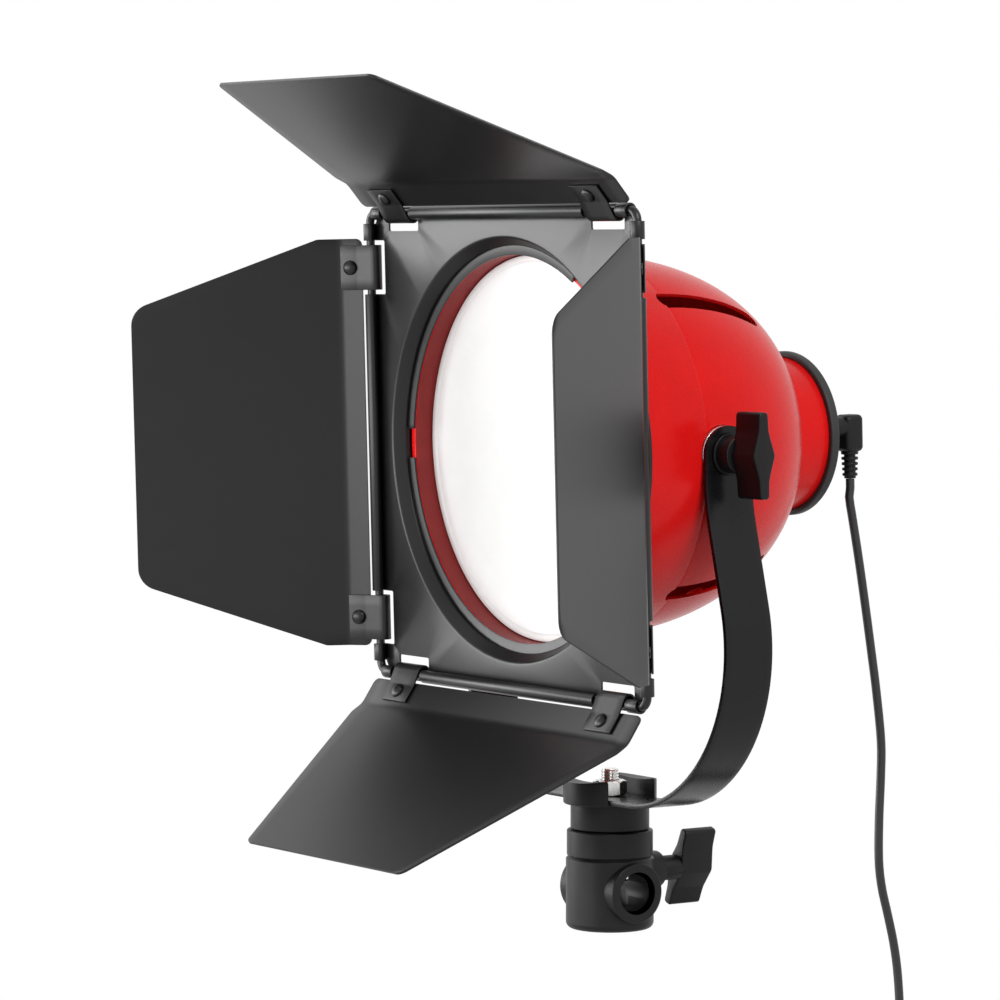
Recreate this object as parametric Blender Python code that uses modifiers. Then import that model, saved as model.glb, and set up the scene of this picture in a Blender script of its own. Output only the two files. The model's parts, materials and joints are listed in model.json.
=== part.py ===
"""LED studio light: round red head, four barn doors, flat yoke and stand adapter.

Run it with: blender --background --python part.py

Units are metres and +Z is up. The light aims along -Y, and its left side is +X. The origin is
the middle of the stand socket's mouth, at the bottom of the adapter. The head's pieces are made
in the lamp frame, whose origin is on the optical axis in the plane of the hinge wires, with +Y
to the rear. The lamp frame hangs on an empty at the tilt pivot.
"""

import math

import bmesh
import bpy
from mathutils import Matrix, Vector

MM = 0.001
DEG = math.pi / 180

# Fits shared by all pieces
GAP = 0.3 * MM
BORE_GAP = 0.3 * MM

# Pose in which the light stands
HEAD_TILT = 1.6 * DEG
DOOR_REST = {"left": 55.8 * DEG, "right": 56.7 * DEG, "top": 50.3 * DEG, "bottom": 54.2 * DEG}
DOOR_CLOCK = {"top": 0.0, "right": 90 * DEG, "bottom": 180 * DEG, "left": 270 * DEG}

# Tilt pivot
PIVOT_BACK = 56.4 * MM
PIVOT_DROP = 1.2 * MM

# Barn door frame
HOOP_SIDE = 205 * MM
WIRE_RADIUS = 1.9 * MM
HOOP_CORNER = 7 * MM
SHEET = 0.9 * MM
FRAME_CORNER = 8 * MM
NOTCH_WIDTH = 24 * MM
NOTCH_DEPTH = 7.9 * MM
CLIP_INSET = 24 * MM
CLIP_OFFSET = HOOP_SIDE / 2 - CLIP_INSET
ROLL_INSET = 7.5 * MM
ROLL_END = HOOP_SIDE / 2 - ROLL_INSET
EMBOSS_SLOPE = 3.7 * MM
EMBOSS_DEPTH = 4.7 * MM
LIP_ROOM = 0.6 * MM
LIP_WIDTH = 4.1 * MM
COLLAR_ROOM = 0.5 * MM
LIP_STEP = 1.3 * MM
COLLAR_LENGTH = 7 * MM
LIP_GAP_WIDTH = 13 * MM
LIP_GAP_ANGLES = (180 * DEG, 55 * DEG, -55 * DEG)

# Dimples pressed into the collar, which run in a groove round the housing
DIMPLE_RADIUS = 1.5 * MM
DIMPLE_ANGLES = (90 * DEG, 210 * DEG, 330 * DEG)
GROOVE_DEPTH = 1.1 * MM

# Door leaves: (flange length, straight stretch, panel length, flange width, outer width,
# bend, outer corner radius)
LEAF_SHEET = 1.0 * MM
HINGE_TO_FLANGE = 4.35 * MM
SIDE_FLANGE = HOOP_SIDE - 22.2 * MM
END_FLANGE = HOOP_SIDE - 0.1 * MM
SIDE_LEAF = (10.8 * MM, 10.2 * MM, 94.3 * MM, SIDE_FLANGE, 123.2 * MM, 23.5 * DEG, 10 * MM)
END_LEAF = (13.4 * MM, 6.5 * MM, 99.5 * MM, END_FLANGE, 122.8 * MM, 24.4 * DEG, 5 * MM)
LEAF_STYLE = {"left": SIDE_LEAF, "right": SIDE_LEAF, "top": END_LEAF, "bottom": END_LEAF}
FLANGE_CORNER = 3 * MM

# Clips and rivets
CLIP_WIDTH = 20 * MM
CLIP_SHEET = 0.8 * MM
CLIP_LEAF_END = 14.4 * MM
RIVET_HEIGHT_ON_LEAF = 9.6 * MM
RIVET_HEAD = (3.3 * MM, 1.6 * MM)
RIVET_SHANK = 1.4 * MM
RIVET_TAIL = (2.4 * MM, 0.6 * MM)

# Housing
RIM_RADIUS = 87.4 * MM
RIM_WALL = 3.2 * MM
BAND_TAPER = 3.9 * MM
CREASE_BACK = 48 * MM
CREASE_STEP = 0.8 * MM
DOME_LENGTH = 80.6 * MM
DOME_FLAT_RADIUS = 30 * MM
DOME_BACK_POWER = 1.82
DOME_SIDE_POWER = 2.2
DOME_POINTS = 8
HOUSING_WALL = 1.5 * MM
LEDGE_WIDTH = 3.7 * MM
LEDGE_THICKNESS = 1.5 * MM
SLOT_WIDTH = 9 * MM
SLOT_FRONT = 44.5 * MM
SLOT_REAR = 104 * MM
SLOT_CLOCKS = (0.0, 40 * DEG, 138 * DEG, 180 * DEG, 222 * DEG, 320 * DEG)

# Radii that follow the rim
RIM_INNER = RIM_RADIUS - RIM_WALL
LEDGE_INNER = RIM_INNER - LEDGE_WIDTH
CREASE_FRONT_RADIUS = RIM_RADIUS - BAND_TAPER
CREASE_REAR_RADIUS = CREASE_FRONT_RADIUS - CREASE_STEP
LIP_OUTER = RIM_RADIUS + LIP_ROOM
LIP_INNER = LIP_OUTER - LIP_WIDTH
EMBOSS_RADIUS = LIP_OUTER + EMBOSS_SLOPE

# Rear drum, trim ring and panel
DRUM_RADIUS = 34.2 * MM
DRUM_WALL = 1.4 * MM
DRUM_SEAT = 4.6 * MM
DRUM_LENGTH = 27.5 * MM
DRUM_FRONT = CREASE_BACK + DOME_LENGTH - DRUM_SEAT
DRUM_REAR = DRUM_FRONT + DRUM_LENGTH
DRUM_FLANGE = 2.8 * MM
PANEL_THICKNESS = 1.5 * MM
TRIM_WALL = 2.6 * MM
TRIM_RADIUS = DRUM_RADIUS + TRIM_WALL
TRIM_OVERLAP = 1.2 * MM
TRIM_LIP_WIDTH = 5.3 * MM
TRIM_LIP_INNER = TRIM_RADIUS - TRIM_LIP_WIDTH
TRIM_LIP_THICKNESS = 1.4 * MM
TRIM_EDGE = 0.9 * MM

# Light engine
DIFFUSER_ROOM = 0.4 * MM
DIFFUSER_RADIUS = RIM_INNER - DIFFUSER_ROOM
DIFFUSER_THICKNESS = 2.6 * MM
DIFFUSER_RIM = 3.2 * MM
DIFFUSER_DISH = 2.2 * MM
DIFFUSER_FRONT = 18.0 * MM
REFLECTOR_WALL = 1.2 * MM
REFLECTOR_SETBACK = 1.0 * MM
REFLECTOR_MOUTH = LEDGE_INNER - REFLECTOR_SETBACK
REFLECTOR_THROAT = 45.5 * MM
BOARD_RADIUS = 44 * MM
BOARD_THICKNESS = 1.6 * MM
BOARD_FRONT = 58.6 * MM
MODULE_RADIUS = 16 * MM
MODULE_HEIGHT = 1.6 * MM
SINK_SIDE = 66 * MM
SINK_BASE = 5 * MM
SINK_FIN = (2.0 * MM, 22 * MM)
SINK_FINS_PER_SIDE = 4
BRACKET_WIDTH = 20 * MM
BRACKET_SHEET = 2.2 * MM

# Driver in the drum
DRIVER_ROOM = 3.3 * MM
DRIVER_BOARD_RADIUS = DRUM_RADIUS - DRUM_WALL - DRIVER_ROOM
DRIVER_BOARD_DEPTH = 9 * MM
DRIVER_BOARD_FRONT = DRUM_FRONT + DRIVER_BOARD_DEPTH
POST_RADIUS = 2.5 * MM
POST_EDGE = 5 * MM
POST_CIRCLE = DRIVER_BOARD_RADIUS - POST_EDGE

# Rear controls
INLET_EDGE = 10.2 * MM
INLET_PLACE = (DRUM_RADIUS - INLET_EDGE, 3 * MM)
INLET_BARREL = 5.0 * MM
INLET_FLANGE = (6.3 * MM, 2.0 * MM)
INLET_LENGTH = 11 * MM
PLUG_PIN = 2.75 * MM
SWITCH_PLACE = (-12 * MM, 0.0)
SWITCH_SIZE = (13 * MM, 19 * MM)
SWITCH_BEZEL = 1.6 * MM
SWITCH_DEPTH = 12 * MM
ROCKER_AXIS_DEPTH = 4.5 * MM
ROCKER_TILT = 8 * DEG

# Plug, strain relief and lead
PLUG_NECK = (4.6 * MM, 9.0 * MM)
PLUG_BODY = (10 * MM, 10 * MM, 16.5 * MM)
PLUG_BODY_TOP = 8.3 * MM
RELIEF_LENGTH = 12 * MM
RELIEF_RIBS = 5
RELIEF_RIB = 3.9 * MM
RELIEF_CORE = 2.6 * MM
CORD_RADIUS = 2.0 * MM

# Pivot hardware
BOSS_RADIUS = 12 * MM
BOSS_FLANGE = (15 * MM, 2.0 * MM)
BOSS_SEAT_DEPTH = 4.9 * MM
BOSS_FLANGE_OUTER = CREASE_REAR_RADIUS - BOSS_SEAT_DEPTH
SCREW_RADIUS = 4.0 * MM
SCREW_REACH = 11.8 * MM
SCREW_INNER_END = BOSS_FLANGE_OUTER - SCREW_REACH
PIVOT_WASHER = (9 * MM, 1.2 * MM)
HEX_RADIUS = 7.5 * MM
HEX_HEAD = 5.3 * MM
NUT_HEIGHT = 6.5 * MM

# Yoke strap
STRAP_WIDTH = 24 * MM
STRAP = 2.0 * MM
STRAP_ROOM = 1.9 * MM
STRAP_INNER = CREASE_REAR_RADIUS + STRAP_ROOM
STRAP_FLARE = 15 * DEG
STRAP_KNEE = 12 * MM
STRAP_ARC = 71 * MM
STRAP_ARC_INSET = 55.3 * MM
STRAP_ARC_DROP = 82.8 * MM

# Knobs
KNOB_HEIGHT = 36.5 * MM
KNOB_MIDDLE = 11.6 * MM
KNOB_TIP = 4.6 * MM
KNOB_LENGTH = 16.7 * MM
KNOB_HUB = (8 * MM, 6.3 * MM)
KNOB_BORE_DEPTH = 12 * MM
CLAMP_KNOB_HUB = (5.5 * MM, 9.5 * MM)
CLAMP_KNOB_TURN = 20.7 * DEG

# Stand adapter
BODY_RADIUS = 19.3 * MM
BODY_TOP = 31.6 * MM
BODY_FILLET = 3 * MM
COLLAR_RADIUS = 18.9 * MM
COLLAR_GROOVE = 0.8 * MM
COLLAR_TOP = 43.5 * MM
SOCKET_RADIUS = 8.15 * MM
SOCKET_DEPTH = 33 * MM
CROSS_HEIGHT = 17.3 * MM
CROSS_RADIUS = 13.2 * MM
CROSS_ENDS = (-19.8 * MM, 21.0 * MM)
CROSS_MOUTH = (9.3 * MM, 3.0 * MM)
CLAMP_HEIGHT = 24 * MM
CLAMP_BOSS = (8.6 * MM, 25.5 * MM)

# Fork head
FORK_RADIUS = 17.3 * MM
FORK_WALL_RADIUS = 20.5 * MM
FORK_WALL_HEIGHT = 10.5 * MM
FORK_WALL_ROOT = 1.0 * MM
FORK_STUB = (10 * MM, 7.6 * MM)
FORK_SLOT_GAP = 0.35 * MM
FORK_FLOOR = 12.2 * MM
BOLT_PAST_NUT = 5 * MM

# The strap's underside stands on the fork's floor, and the pivot is above it
STRAP_LOW = COLLAR_TOP + GAP + FORK_FLOOR + GAP
PIVOT_HEIGHT = STRAP_LOW + STRAP / 2 + STRAP_ARC + STRAP_ARC_DROP

# Coil of the lead that the picture doesn't show, hung below its lower edge
COIL_X = 24 * MM
COIL_HIGH = -84 * MM
COIL_REAR = 144.0 * MM
COIL_OUTER = 28.7 * MM
COIL_PITCH = 4.55 * MM
COIL_LAYERS = 4
COIL_TURNS_PER_LAYER = 2.75
COIL_POINTS_PER_TURN = 24
COIL_END_RUN = 2 * CORD_RADIUS
TIE = (8 * MM, 1.1 * MM)
TIE_ROOM = 0.7 * MM

# Mains adapter on the end of the lead
ADAPTER_SIZE = (46 * MM, 30 * MM, 76 * MM)
ADAPTER_EDGE = 3 * MM
ADAPTER_RELIEF = (3.0 * MM, 4.2 * MM, 12 * MM)
ADAPTER_PLACE = (31 * MM, 131 * MM, -126 * MM)
PIN_PLATE = (24 * MM, 4 * MM, 16 * MM)
PIN_PLATE_DROP = 22 * MM
PIN_SIZE = (1.5 * MM, 17 * MM, 6.3 * MM)
PIN_SPACING = 12.7 * MM

# Free stretches of the lead, as chosen points (x, y, z) under the plug and under the coil
LEAD_ROUTE = (
    (24.0, 113.6, 186.5),
    (24.0, 115.6, 176.5),
    (24.0, 119.2, 158.4),
    (24.0, 123.3, 135.8),
    (24.0, 126.4, 117.7),
    (24.0, 129.4, 99.5),
    (24.0, 132.3, 76.7),
    (24.0, 132.3, 60.9),
    (24.0, 131.4, 40.6),
    (24.0, 131.4, 22.5),
    (24.0, 133.1, 10.1),
    (24.0, 136.6, -2.5),
    (24.0, 139.9, -15.0),
    (24.0, 142.2, -27.5),
    (24.0, 143.6, -42.2),
    (24.0, 144.2, -58.0),
)
LEAD_STEP = 9 * MM
TAIL_ROUTE = ((37.4, 143.7, -96.0), (35.6, 139.5, -106.0), (32.6, 133.4, -114.5))

# Facets round a full turn
LARGE_STEPS = 32
MEDIUM_STEPS = 24
SMALL_STEPS = 14
TINY_STEPS = 10
CROSS_STEPS = 22
SOCKET_STEPS = 20

COLOURS = {
    "red_paint": ((0.62, 0.012, 0.012), 0.28, 0.0),
    "black_sheet": ((0.018, 0.018, 0.02), 0.42, 0.0),
    "yoke_black": ((0.012, 0.012, 0.014), 0.3, 0.0),
    "black_plastic": ((0.015, 0.015, 0.016), 0.5, 0.0),
    "rubber": ((0.012, 0.012, 0.012), 0.7, 0.0),
    "zinc": ((0.72, 0.72, 0.7), 0.3, 1.0),
    "aluminium": ((0.8, 0.8, 0.82), 0.35, 1.0),
    "opal": ((0.93, 0.93, 0.92), 0.4, 0.0),
    "white_plastic": ((0.85, 0.85, 0.84), 0.45, 0.0),
    "board_white": ((0.8, 0.8, 0.78), 0.5, 0.0),
    "board_green": ((0.02, 0.16, 0.06), 0.5, 0.0),
    "led_yellow": ((0.85, 0.62, 0.12), 0.3, 0.0),
    "brass": ((0.75, 0.55, 0.22), 0.35, 1.0),
}

parts = None
cutters = None
materials = {}


# Scene and materials


def clear_scene():
    """Remove what the file holds, so that a second run starts clean."""
    for obj in list(bpy.data.objects):
        bpy.data.objects.remove(obj, do_unlink=True)
    for collection in list(bpy.data.collections):
        bpy.data.collections.remove(collection)


def material(name):
    """The Principled material of this name, made at its first use."""
    if name not in materials:
        colour, roughness, metallic = COLOURS[name]
        made = bpy.data.materials.new(name)
        made.use_nodes = True
        shader = made.node_tree.nodes["Principled BSDF"]
        shader.inputs["Base Color"].default_value = (*colour, 1.0)
        shader.inputs["Roughness"].default_value = roughness
        shader.inputs["Metallic"].default_value = metallic
        made.diffuse_color = (*colour, 1.0)
        materials[name] = made
    return materials[name]


def new_empty(name, parent=None, location=(0, 0, 0), rotation=(0, 0, 0)):
    """An empty that carries the pieces of one moving group."""
    empty = bpy.data.objects.new(name, None)
    empty.empty_display_size = 0.02
    empty.parent = parent
    empty.location = location
    empty.rotation_euler = rotation
    parts.objects.link(empty)
    return empty


def add_part(name, mesh, paint, parent=None, location=(0, 0, 0), rotation=(0, 0, 0)):
    """Put a mesh in the parts collection as a named, painted piece."""
    obj = bpy.data.objects.new(name, mesh)
    mesh.name = name
    obj.data.materials.clear()
    obj.data.materials.append(material(paint))
    obj.parent = parent
    obj.location = location
    obj.rotation_euler = rotation
    parts.objects.link(obj)
    return obj


# Meshes


def moved(mesh, matrix):
    """The mesh with its points moved by the matrix."""
    mesh.transform(matrix)
    return mesh


def joined(name, meshes):
    """One mesh of several separate bodies."""
    bm = bmesh.new()
    for mesh in meshes:
        bm.from_mesh(mesh)
    made = bpy.data.meshes.new(name)
    bm.to_mesh(made)
    bm.free()
    for mesh in meshes:
        bpy.data.meshes.remove(mesh)
    return made


def axis_matrix(axis):
    """A turn that takes local +Z to the named axis."""
    turns = {
        "+Z": Matrix.Identity(4),
        "-Z": Matrix.Rotation(math.pi, 4, "X"),
        "+Y": Matrix.Rotation(-math.pi / 2, 4, "X"),
        "-Y": Matrix.Rotation(math.pi / 2, 4, "X"),
        "+X": Matrix.Rotation(math.pi / 2, 4, "Y"),
        "-X": Matrix.Rotation(-math.pi / 2, 4, "Y"),
    }
    return turns[axis]


def cylinder(radius, start, end, axis="+Z", centre=(0, 0, 0), steps=MEDIUM_STEPS, end_radius=None):
    """A capped cylinder, or a cone, from start to end along an axis through centre."""
    bm = bmesh.new()
    bmesh.ops.create_cone(
        bm,
        cap_ends=True,
        segments=steps,
        radius1=radius,
        radius2=radius if end_radius is None else end_radius,
        depth=end - start,
    )
    mesh = bpy.data.meshes.new("cylinder")
    bm.to_mesh(mesh)
    bm.free()
    along = Matrix.Translation((0, 0, (start + end) / 2))
    return moved(mesh, Matrix.Translation(centre) @ axis_matrix(axis) @ along)


def box(low, high, edge=0.0):
    """A box between two corners, with its edges rounded where edge isn't 0."""
    low, high = Vector(low), Vector(high)
    bm = bmesh.new()
    bmesh.ops.create_cube(bm, size=1.0)
    bmesh.ops.scale(bm, vec=high - low, verts=bm.verts)
    bmesh.ops.translate(bm, vec=(low + high) / 2, verts=bm.verts)
    if edge:
        bmesh.ops.bevel(
            bm, geom=bm.edges, offset=edge, segments=2, profile=0.5, affect="EDGES"
        )
    mesh = bpy.data.meshes.new("box")
    bm.to_mesh(mesh)
    bm.free()
    return mesh


def arc(centre, radius, start, end, steps):
    """Points along an arc, from the start angle to the end angle."""
    return [
        (
            centre[0] + radius * math.cos(start + (end - start) * k / steps),
            centre[1] + radius * math.sin(start + (end - start) * k / steps),
        )
        for k in range(steps + 1)
    ]


def rounded(corners, steps=4):
    """An outline whose corners (x, y, radius) are rounded by their radius."""
    points = []
    count = len(corners)
    for k, (x, y, radius) in enumerate(corners):
        here = Vector((x, y))
        if not radius:
            points.append((x, y))
            continue
        before = (Vector(corners[k - 1][:2]) - here).normalized()
        after = (Vector(corners[(k + 1) % count][:2]) - here).normalized()
        half = before.angle(after) / 2
        centre = here + (before + after).normalized() * (radius / math.sin(half))
        first = here + before * (radius / math.tan(half)) - centre
        last = here + after * (radius / math.tan(half)) - centre
        for step in range(steps + 1):
            share = step / steps
            spoke = first.lerp(last, share)
            points.append(tuple(centre + spoke.normalized() * radius))
    return points


def thick_path(path, thickness):
    """The closed outline of a strip of this thickness along a path."""
    path = [Vector(point) for point in path]
    left, right = [], []
    for k, point in enumerate(path):
        before = (point - path[k - 1]).normalized() if k else None
        after = (path[k + 1] - point).normalized() if k + 1 < len(path) else None
        if before is None or after is None:
            along = before or after
            stretch = 1.0
        else:
            along = (before + after).normalized()
            stretch = 1 / max(0.5, along.dot(after))
        normal = Vector((-along.y, along.x)) * (thickness / 2 * stretch)
        left.append(tuple(point + normal))
        right.append(tuple(point - normal))
    return left + right[::-1]


PLANES = {
    "XY": Matrix.Identity(4),
    "XZ": Matrix(((1, 0, 0, 0), (0, 0, -1, 0), (0, 1, 0, 0), (0, 0, 0, 1))),
    "YZ": Matrix(((0, 0, 1, 0), (1, 0, 0, 0), (0, 1, 0, 0), (0, 0, 0, 1))),
}


def prism(outline, plane, low, high, holes=()):
    """A flat outline in a plane, made solid from low to high along the plane's third axis."""
    curve = bpy.data.curves.new("outline", "CURVE")
    curve.dimensions = "2D"
    curve.fill_mode = "BOTH"
    curve.extrude = (high - low) / 2
    curve.render_resolution_u = 0
    for loop in (outline, *holes):
        spline = curve.splines.new("POLY")
        spline.points.add(len(loop) - 1)
        for point, (x, y) in zip(spline.points, loop):
            point.co = (x, y, 0, 1)
        spline.use_cyclic_u = True
    mesh = mesh_of_curve(curve)
    middle = (low + high) / 2
    if plane == "XZ":
        middle = -middle
    return moved(mesh, PLANES[plane] @ Matrix.Translation((0, 0, middle)))


def mesh_of_curve(curve):
    """The closed mesh of a curve, whose caps are welded to its sides."""
    obj = bpy.data.objects.new("curve", curve)
    bpy.context.scene.collection.objects.link(obj)
    graph = bpy.context.evaluated_depsgraph_get()
    mesh = bpy.data.meshes.new_from_object(obj.evaluated_get(graph))
    bpy.data.objects.remove(obj, do_unlink=True)
    bm = bmesh.new()
    bm.from_mesh(mesh)
    bmesh.ops.remove_doubles(bm, verts=bm.verts, dist=0.001 * MM)
    bm.to_mesh(mesh)
    bm.free()
    return mesh


def turned(name, profile, paint, parent=None, axis="+Z", location=(0, 0, 0), steps=MEDIUM_STEPS):
    """A turned piece: a closed profile of (radius, height), down its outer side, and a Screw.

    A profile that starts and ends on the axis stays open there, and one that doesn't closes
    on itself as a ring.
    """
    obj = add_part(name, profile_mesh(profile), paint, parent, location)
    obj.rotation_euler = axis_matrix(axis).to_euler()
    add_screw(obj, steps)
    return obj


def profile_mesh(profile):
    """The profile's points and edges."""
    solid = profile[0][0] == 0 and profile[-1][0] == 0
    count = len(profile)
    edges = [(k, k + 1) for k in range(count - 1)]
    if not solid:
        edges.append((count - 1, 0))
    mesh = bpy.data.meshes.new("profile")
    mesh.from_pydata([(radius, 0, height) for radius, height in profile], edges, [])
    return mesh


def add_screw(obj, steps):
    """Turn the profile once round and weld it shut."""
    screw = obj.modifiers.new("turn", "SCREW")
    screw.steps = steps
    screw.render_steps = steps
    screw.use_merge_vertices = True
    screw.merge_threshold = 0.01 * MM
    weld = obj.modifiers.new("weld", "WELD")
    weld.merge_threshold = 0.01 * MM


def add_boolean(obj, mesh, operation):
    """Cut, join or trim a piece with a hidden solid that shares its parent."""
    tool = bpy.data.objects.new(f"{obj.name}_{operation.lower()}", mesh)
    tool.parent = obj.parent
    tool.hide_render = True
    tool.display_type = "WIRE"
    cutters.objects.link(tool)
    boolean = obj.modifiers.new(operation.lower(), "BOOLEAN")
    boolean.operation = operation
    boolean.solver = "EXACT"
    boolean.object = tool
    return tool


def cut(obj, mesh):
    """Take the mesh out of the piece."""
    return add_boolean(obj, mesh, "DIFFERENCE")


def fuse(obj, mesh):
    """Join the mesh to the piece."""
    return add_boolean(obj, mesh, "UNION")


def keep(obj, mesh):
    """Keep only what of the piece lies in the mesh."""
    return add_boolean(obj, mesh, "INTERSECT")


def clocked(mesh, angle):
    """Turn a mesh about the lamp axis by a clock angle, from the top towards +X."""
    return moved(mesh, Matrix.Rotation(angle, 4, "Y"))


# Barn door frame


def sheet_front():
    """The frame sheet's front face lies this far behind the wires' plane."""
    return WIRE_RADIUS + GAP


def lip_front():
    """The front face of the recessed lip, behind the wires' plane."""
    return sheet_front() + EMBOSS_DEPTH + LIP_STEP


def rim_front():
    """The housing's rim stands just behind the lip."""
    return lip_front() + SHEET + GAP


def collar_inner():
    """The collar's inner wall, which runs round the housing's rim."""
    return RIM_RADIUS + COLLAR_ROOM


def frame_profile():
    """Half section of the sheet, its embossed ring, the lip and the collar behind it."""
    front, back = sheet_front(), sheet_front() + SHEET
    step = front + EMBOSS_DEPTH
    lip = lip_front()
    inner, outer = collar_inner(), collar_inner() + SHEET
    reach = HOOP_SIDE
    rear = lip + COLLAR_LENGTH
    return [
        (outer, rear),
        (outer, step + SHEET),
        (EMBOSS_RADIUS + SHEET * 0.6, back),
        (reach, back),
        (reach, front),
        (EMBOSS_RADIUS, front),
        (LIP_OUTER, step),
        (LIP_OUTER, lip),
        (LIP_INNER, lip),
        (LIP_INNER, lip + SHEET),
        (inner, lip + SHEET),
        (inner, rear),
    ]


def frame_outline():
    """The sheet's square outline, with two notches a side and rounded corners."""
    half = HOOP_SIDE / 2
    near, far = CLIP_OFFSET - NOTCH_WIDTH / 2, CLIP_OFFSET + NOTCH_WIDTH / 2
    deep = half - NOTCH_DEPTH
    side = [(-far, half), (-far, deep), (-near, deep), (-near, half)]
    side += [(-x, y) for x, y in side[::-1]]
    corner = arc((half - FRAME_CORNER, half - FRAME_CORNER), FRAME_CORNER, 90 * DEG, 0, 4)
    outline = []
    for quarter in range(4):
        turn = Matrix.Rotation(-quarter * 90 * DEG, 2)
        outline += [tuple(turn @ Vector(point)) for point in side + corner]
    return outline


def rolled_edges():
    """The sheet's edges, rolled forward round the wire between the notches and the corners."""
    half = HOOP_SIDE / 2
    radius = WIRE_RADIUS + GAP + SHEET / 2
    path = [
        (-radius * math.sin(a), half + radius * math.cos(a))
        for a in [(-102 + 262 * k / 8) * DEG for k in range(9)]
    ]
    section = thick_path(path, SHEET)
    near, far = CLIP_OFFSET - NOTCH_WIDTH / 2, CLIP_OFFSET + NOTCH_WIDTH / 2
    runs = ((-ROLL_END, -far), (-near, near), (far, ROLL_END))
    return joined(
        "rolled_edges",
        [
            clocked(prism(section, "YZ", low, high), clock)
            for clock in DOOR_CLOCK.values()
            for low, high in runs
        ],
    )


def build_frame(turning):
    """The square frame, turned with its ring and trimmed to its outline."""
    frame = turned(
        "barndoor_frame", frame_profile(), "black_sheet", turning, axis="+Y", steps=LARGE_STEPS
    )
    keep(frame, prism(frame_outline(), "XZ", 0, 40 * MM))
    lip = lip_front()
    reach = (LIP_INNER - 2 * MM, (LIP_OUTER + collar_inner()) / 2 - 0.3 * MM)
    gaps = [
        moved(
            box(
                (reach[0], lip - 0.5 * MM, -LIP_GAP_WIDTH / 2),
                (reach[1], lip + SHEET + 0.5 * MM, LIP_GAP_WIDTH / 2),
            ),
            Matrix.Rotation(-angle, 4, "Y"),
        )
        for angle in LIP_GAP_ANGLES
    ]
    cut(frame, joined("lip_gaps", gaps))
    fuse(frame, rolled_edges())
    tip = band_radius(groove_back()) - GROOVE_DEPTH + GAP
    wall = collar_inner() + SHEET / 2
    dimples = [
        moved(
            cylinder(DIMPLE_RADIUS, tip, wall, "+X", (0, groove_back(), 0), TINY_STEPS),
            Matrix.Rotation(-angle, 4, "Y"),
        )
        for angle in DIMPLE_ANGLES
    ]
    fuse(frame, joined("dimples", dimples))


def build_hoop(turning):
    """The closed square of wire that the doors turn on."""
    half = HOOP_SIDE / 2
    inner = half - HOOP_CORNER
    points = []
    for quarter in range(4):
        turn = Matrix.Rotation(-quarter * 90 * DEG, 2)
        bend = arc((inner, inner), HOOP_CORNER, 90 * DEG, 0, 5)
        points += [tuple(turn @ Vector(point)) for point in bend]
    curve = bpy.data.curves.new("hoop", "CURVE")
    curve.dimensions = "3D"
    curve.bevel_depth = WIRE_RADIUS
    curve.bevel_resolution = 2
    curve.render_resolution_u = 0
    spline = curve.splines.new("POLY")
    spline.points.add(len(points) - 1)
    for point, (x, z) in zip(spline.points, points):
        point.co = (x, 0, z, 1)
    spline.use_cyclic_u = True
    return add_part("hoop_wire", mesh_of_curve(curve), "black_sheet", turning)


def turned_mesh(profile, steps):
    """The finished mesh of a turned profile, to be joined to another piece."""
    obj = bpy.data.objects.new("turned", profile_mesh(profile))
    add_screw(obj, steps)
    bpy.context.scene.collection.objects.link(obj)
    graph = bpy.context.evaluated_depsgraph_get()
    mesh = bpy.data.meshes.new_from_object(obj.evaluated_get(graph))
    bpy.data.objects.remove(obj, do_unlink=True)
    return mesh


# Doors


def leaf_mesh(style):
    """A leaf's middle surface: the flange up to the crease and the tapered panel past it."""
    flange, straight, panel, width, outer_width, bend, corner = style
    foot, crease = HINGE_TO_FLANGE, HINGE_TO_FLANGE + flange
    half, outer = width / 2, outer_width / 2
    low = rounded(
        [
            (-half, crease, 0),
            (-half, foot, FLANGE_CORNER),
            (half, foot, FLANGE_CORNER),
            (half, crease, 0),
        ]
    )
    high = rounded(
        [
            (half, 0, 0),
            (half, straight, 0),
            (outer, panel, corner),
            (-outer, panel, corner),
            (-half, straight, 0),
            (-half, 0, 0),
        ]
    )
    bm = bmesh.new()
    bm.faces.new([bm.verts.new((x, 0, z)) for x, z in low])
    bm.faces.new(
        [
            bm.verts.new((x, -s * math.sin(bend), crease + s * math.cos(bend)))
            for x, s in high
        ]
    )
    bmesh.ops.remove_doubles(bm, verts=bm.verts, dist=0.001 * MM)
    mesh = bpy.data.meshes.new("leaf")
    bm.to_mesh(mesh)
    bm.free()
    return mesh


def clip_section():
    """A clip's section: a loop round the wire that runs out flat over the flange's inner face."""
    radius = WIRE_RADIUS + GAP + CLIP_SHEET / 2
    leaf = -(LEAF_SHEET / 2 + GAP + CLIP_SHEET / 2)
    loop = [
        (-radius * math.cos(a), -radius * math.sin(a))
        for a in [(-20 + 252 * k / 9) * DEG for k in range(10)]
    ]
    return thick_path([(leaf, CLIP_LEAF_END), (leaf, 6.4 * MM), *loop], CLIP_SHEET)


def rivet_profile():
    """A rivet's half section, from its dome on the clip to its tail behind the flange."""
    radius, height = RIVET_HEAD
    seat = LEAF_SHEET / 2 + GAP + CLIP_SHEET + GAP
    tail_radius, tail_height = RIVET_TAIL
    back = -(LEAF_SHEET / 2 + GAP)
    shoulder = (radius * math.sin(50 * DEG), seat + height * math.cos(50 * DEG))
    return [
        (0, seat + height),
        shoulder,
        (radius, seat),
        (RIVET_SHANK, seat),
        (RIVET_SHANK, back),
        (tail_radius, back),
        (tail_radius, back - tail_height),
        (0, back - tail_height),
    ]


def rivet_hole(place):
    """Cutter for the rivet's hole at this place along the hinge line."""
    centre = (place, 0, RIVET_HEIGHT_ON_LEAF)
    return cylinder(RIVET_SHANK + BORE_GAP, -6 * MM, 6 * MM, "-Y", centre, TINY_STEPS)


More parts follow.
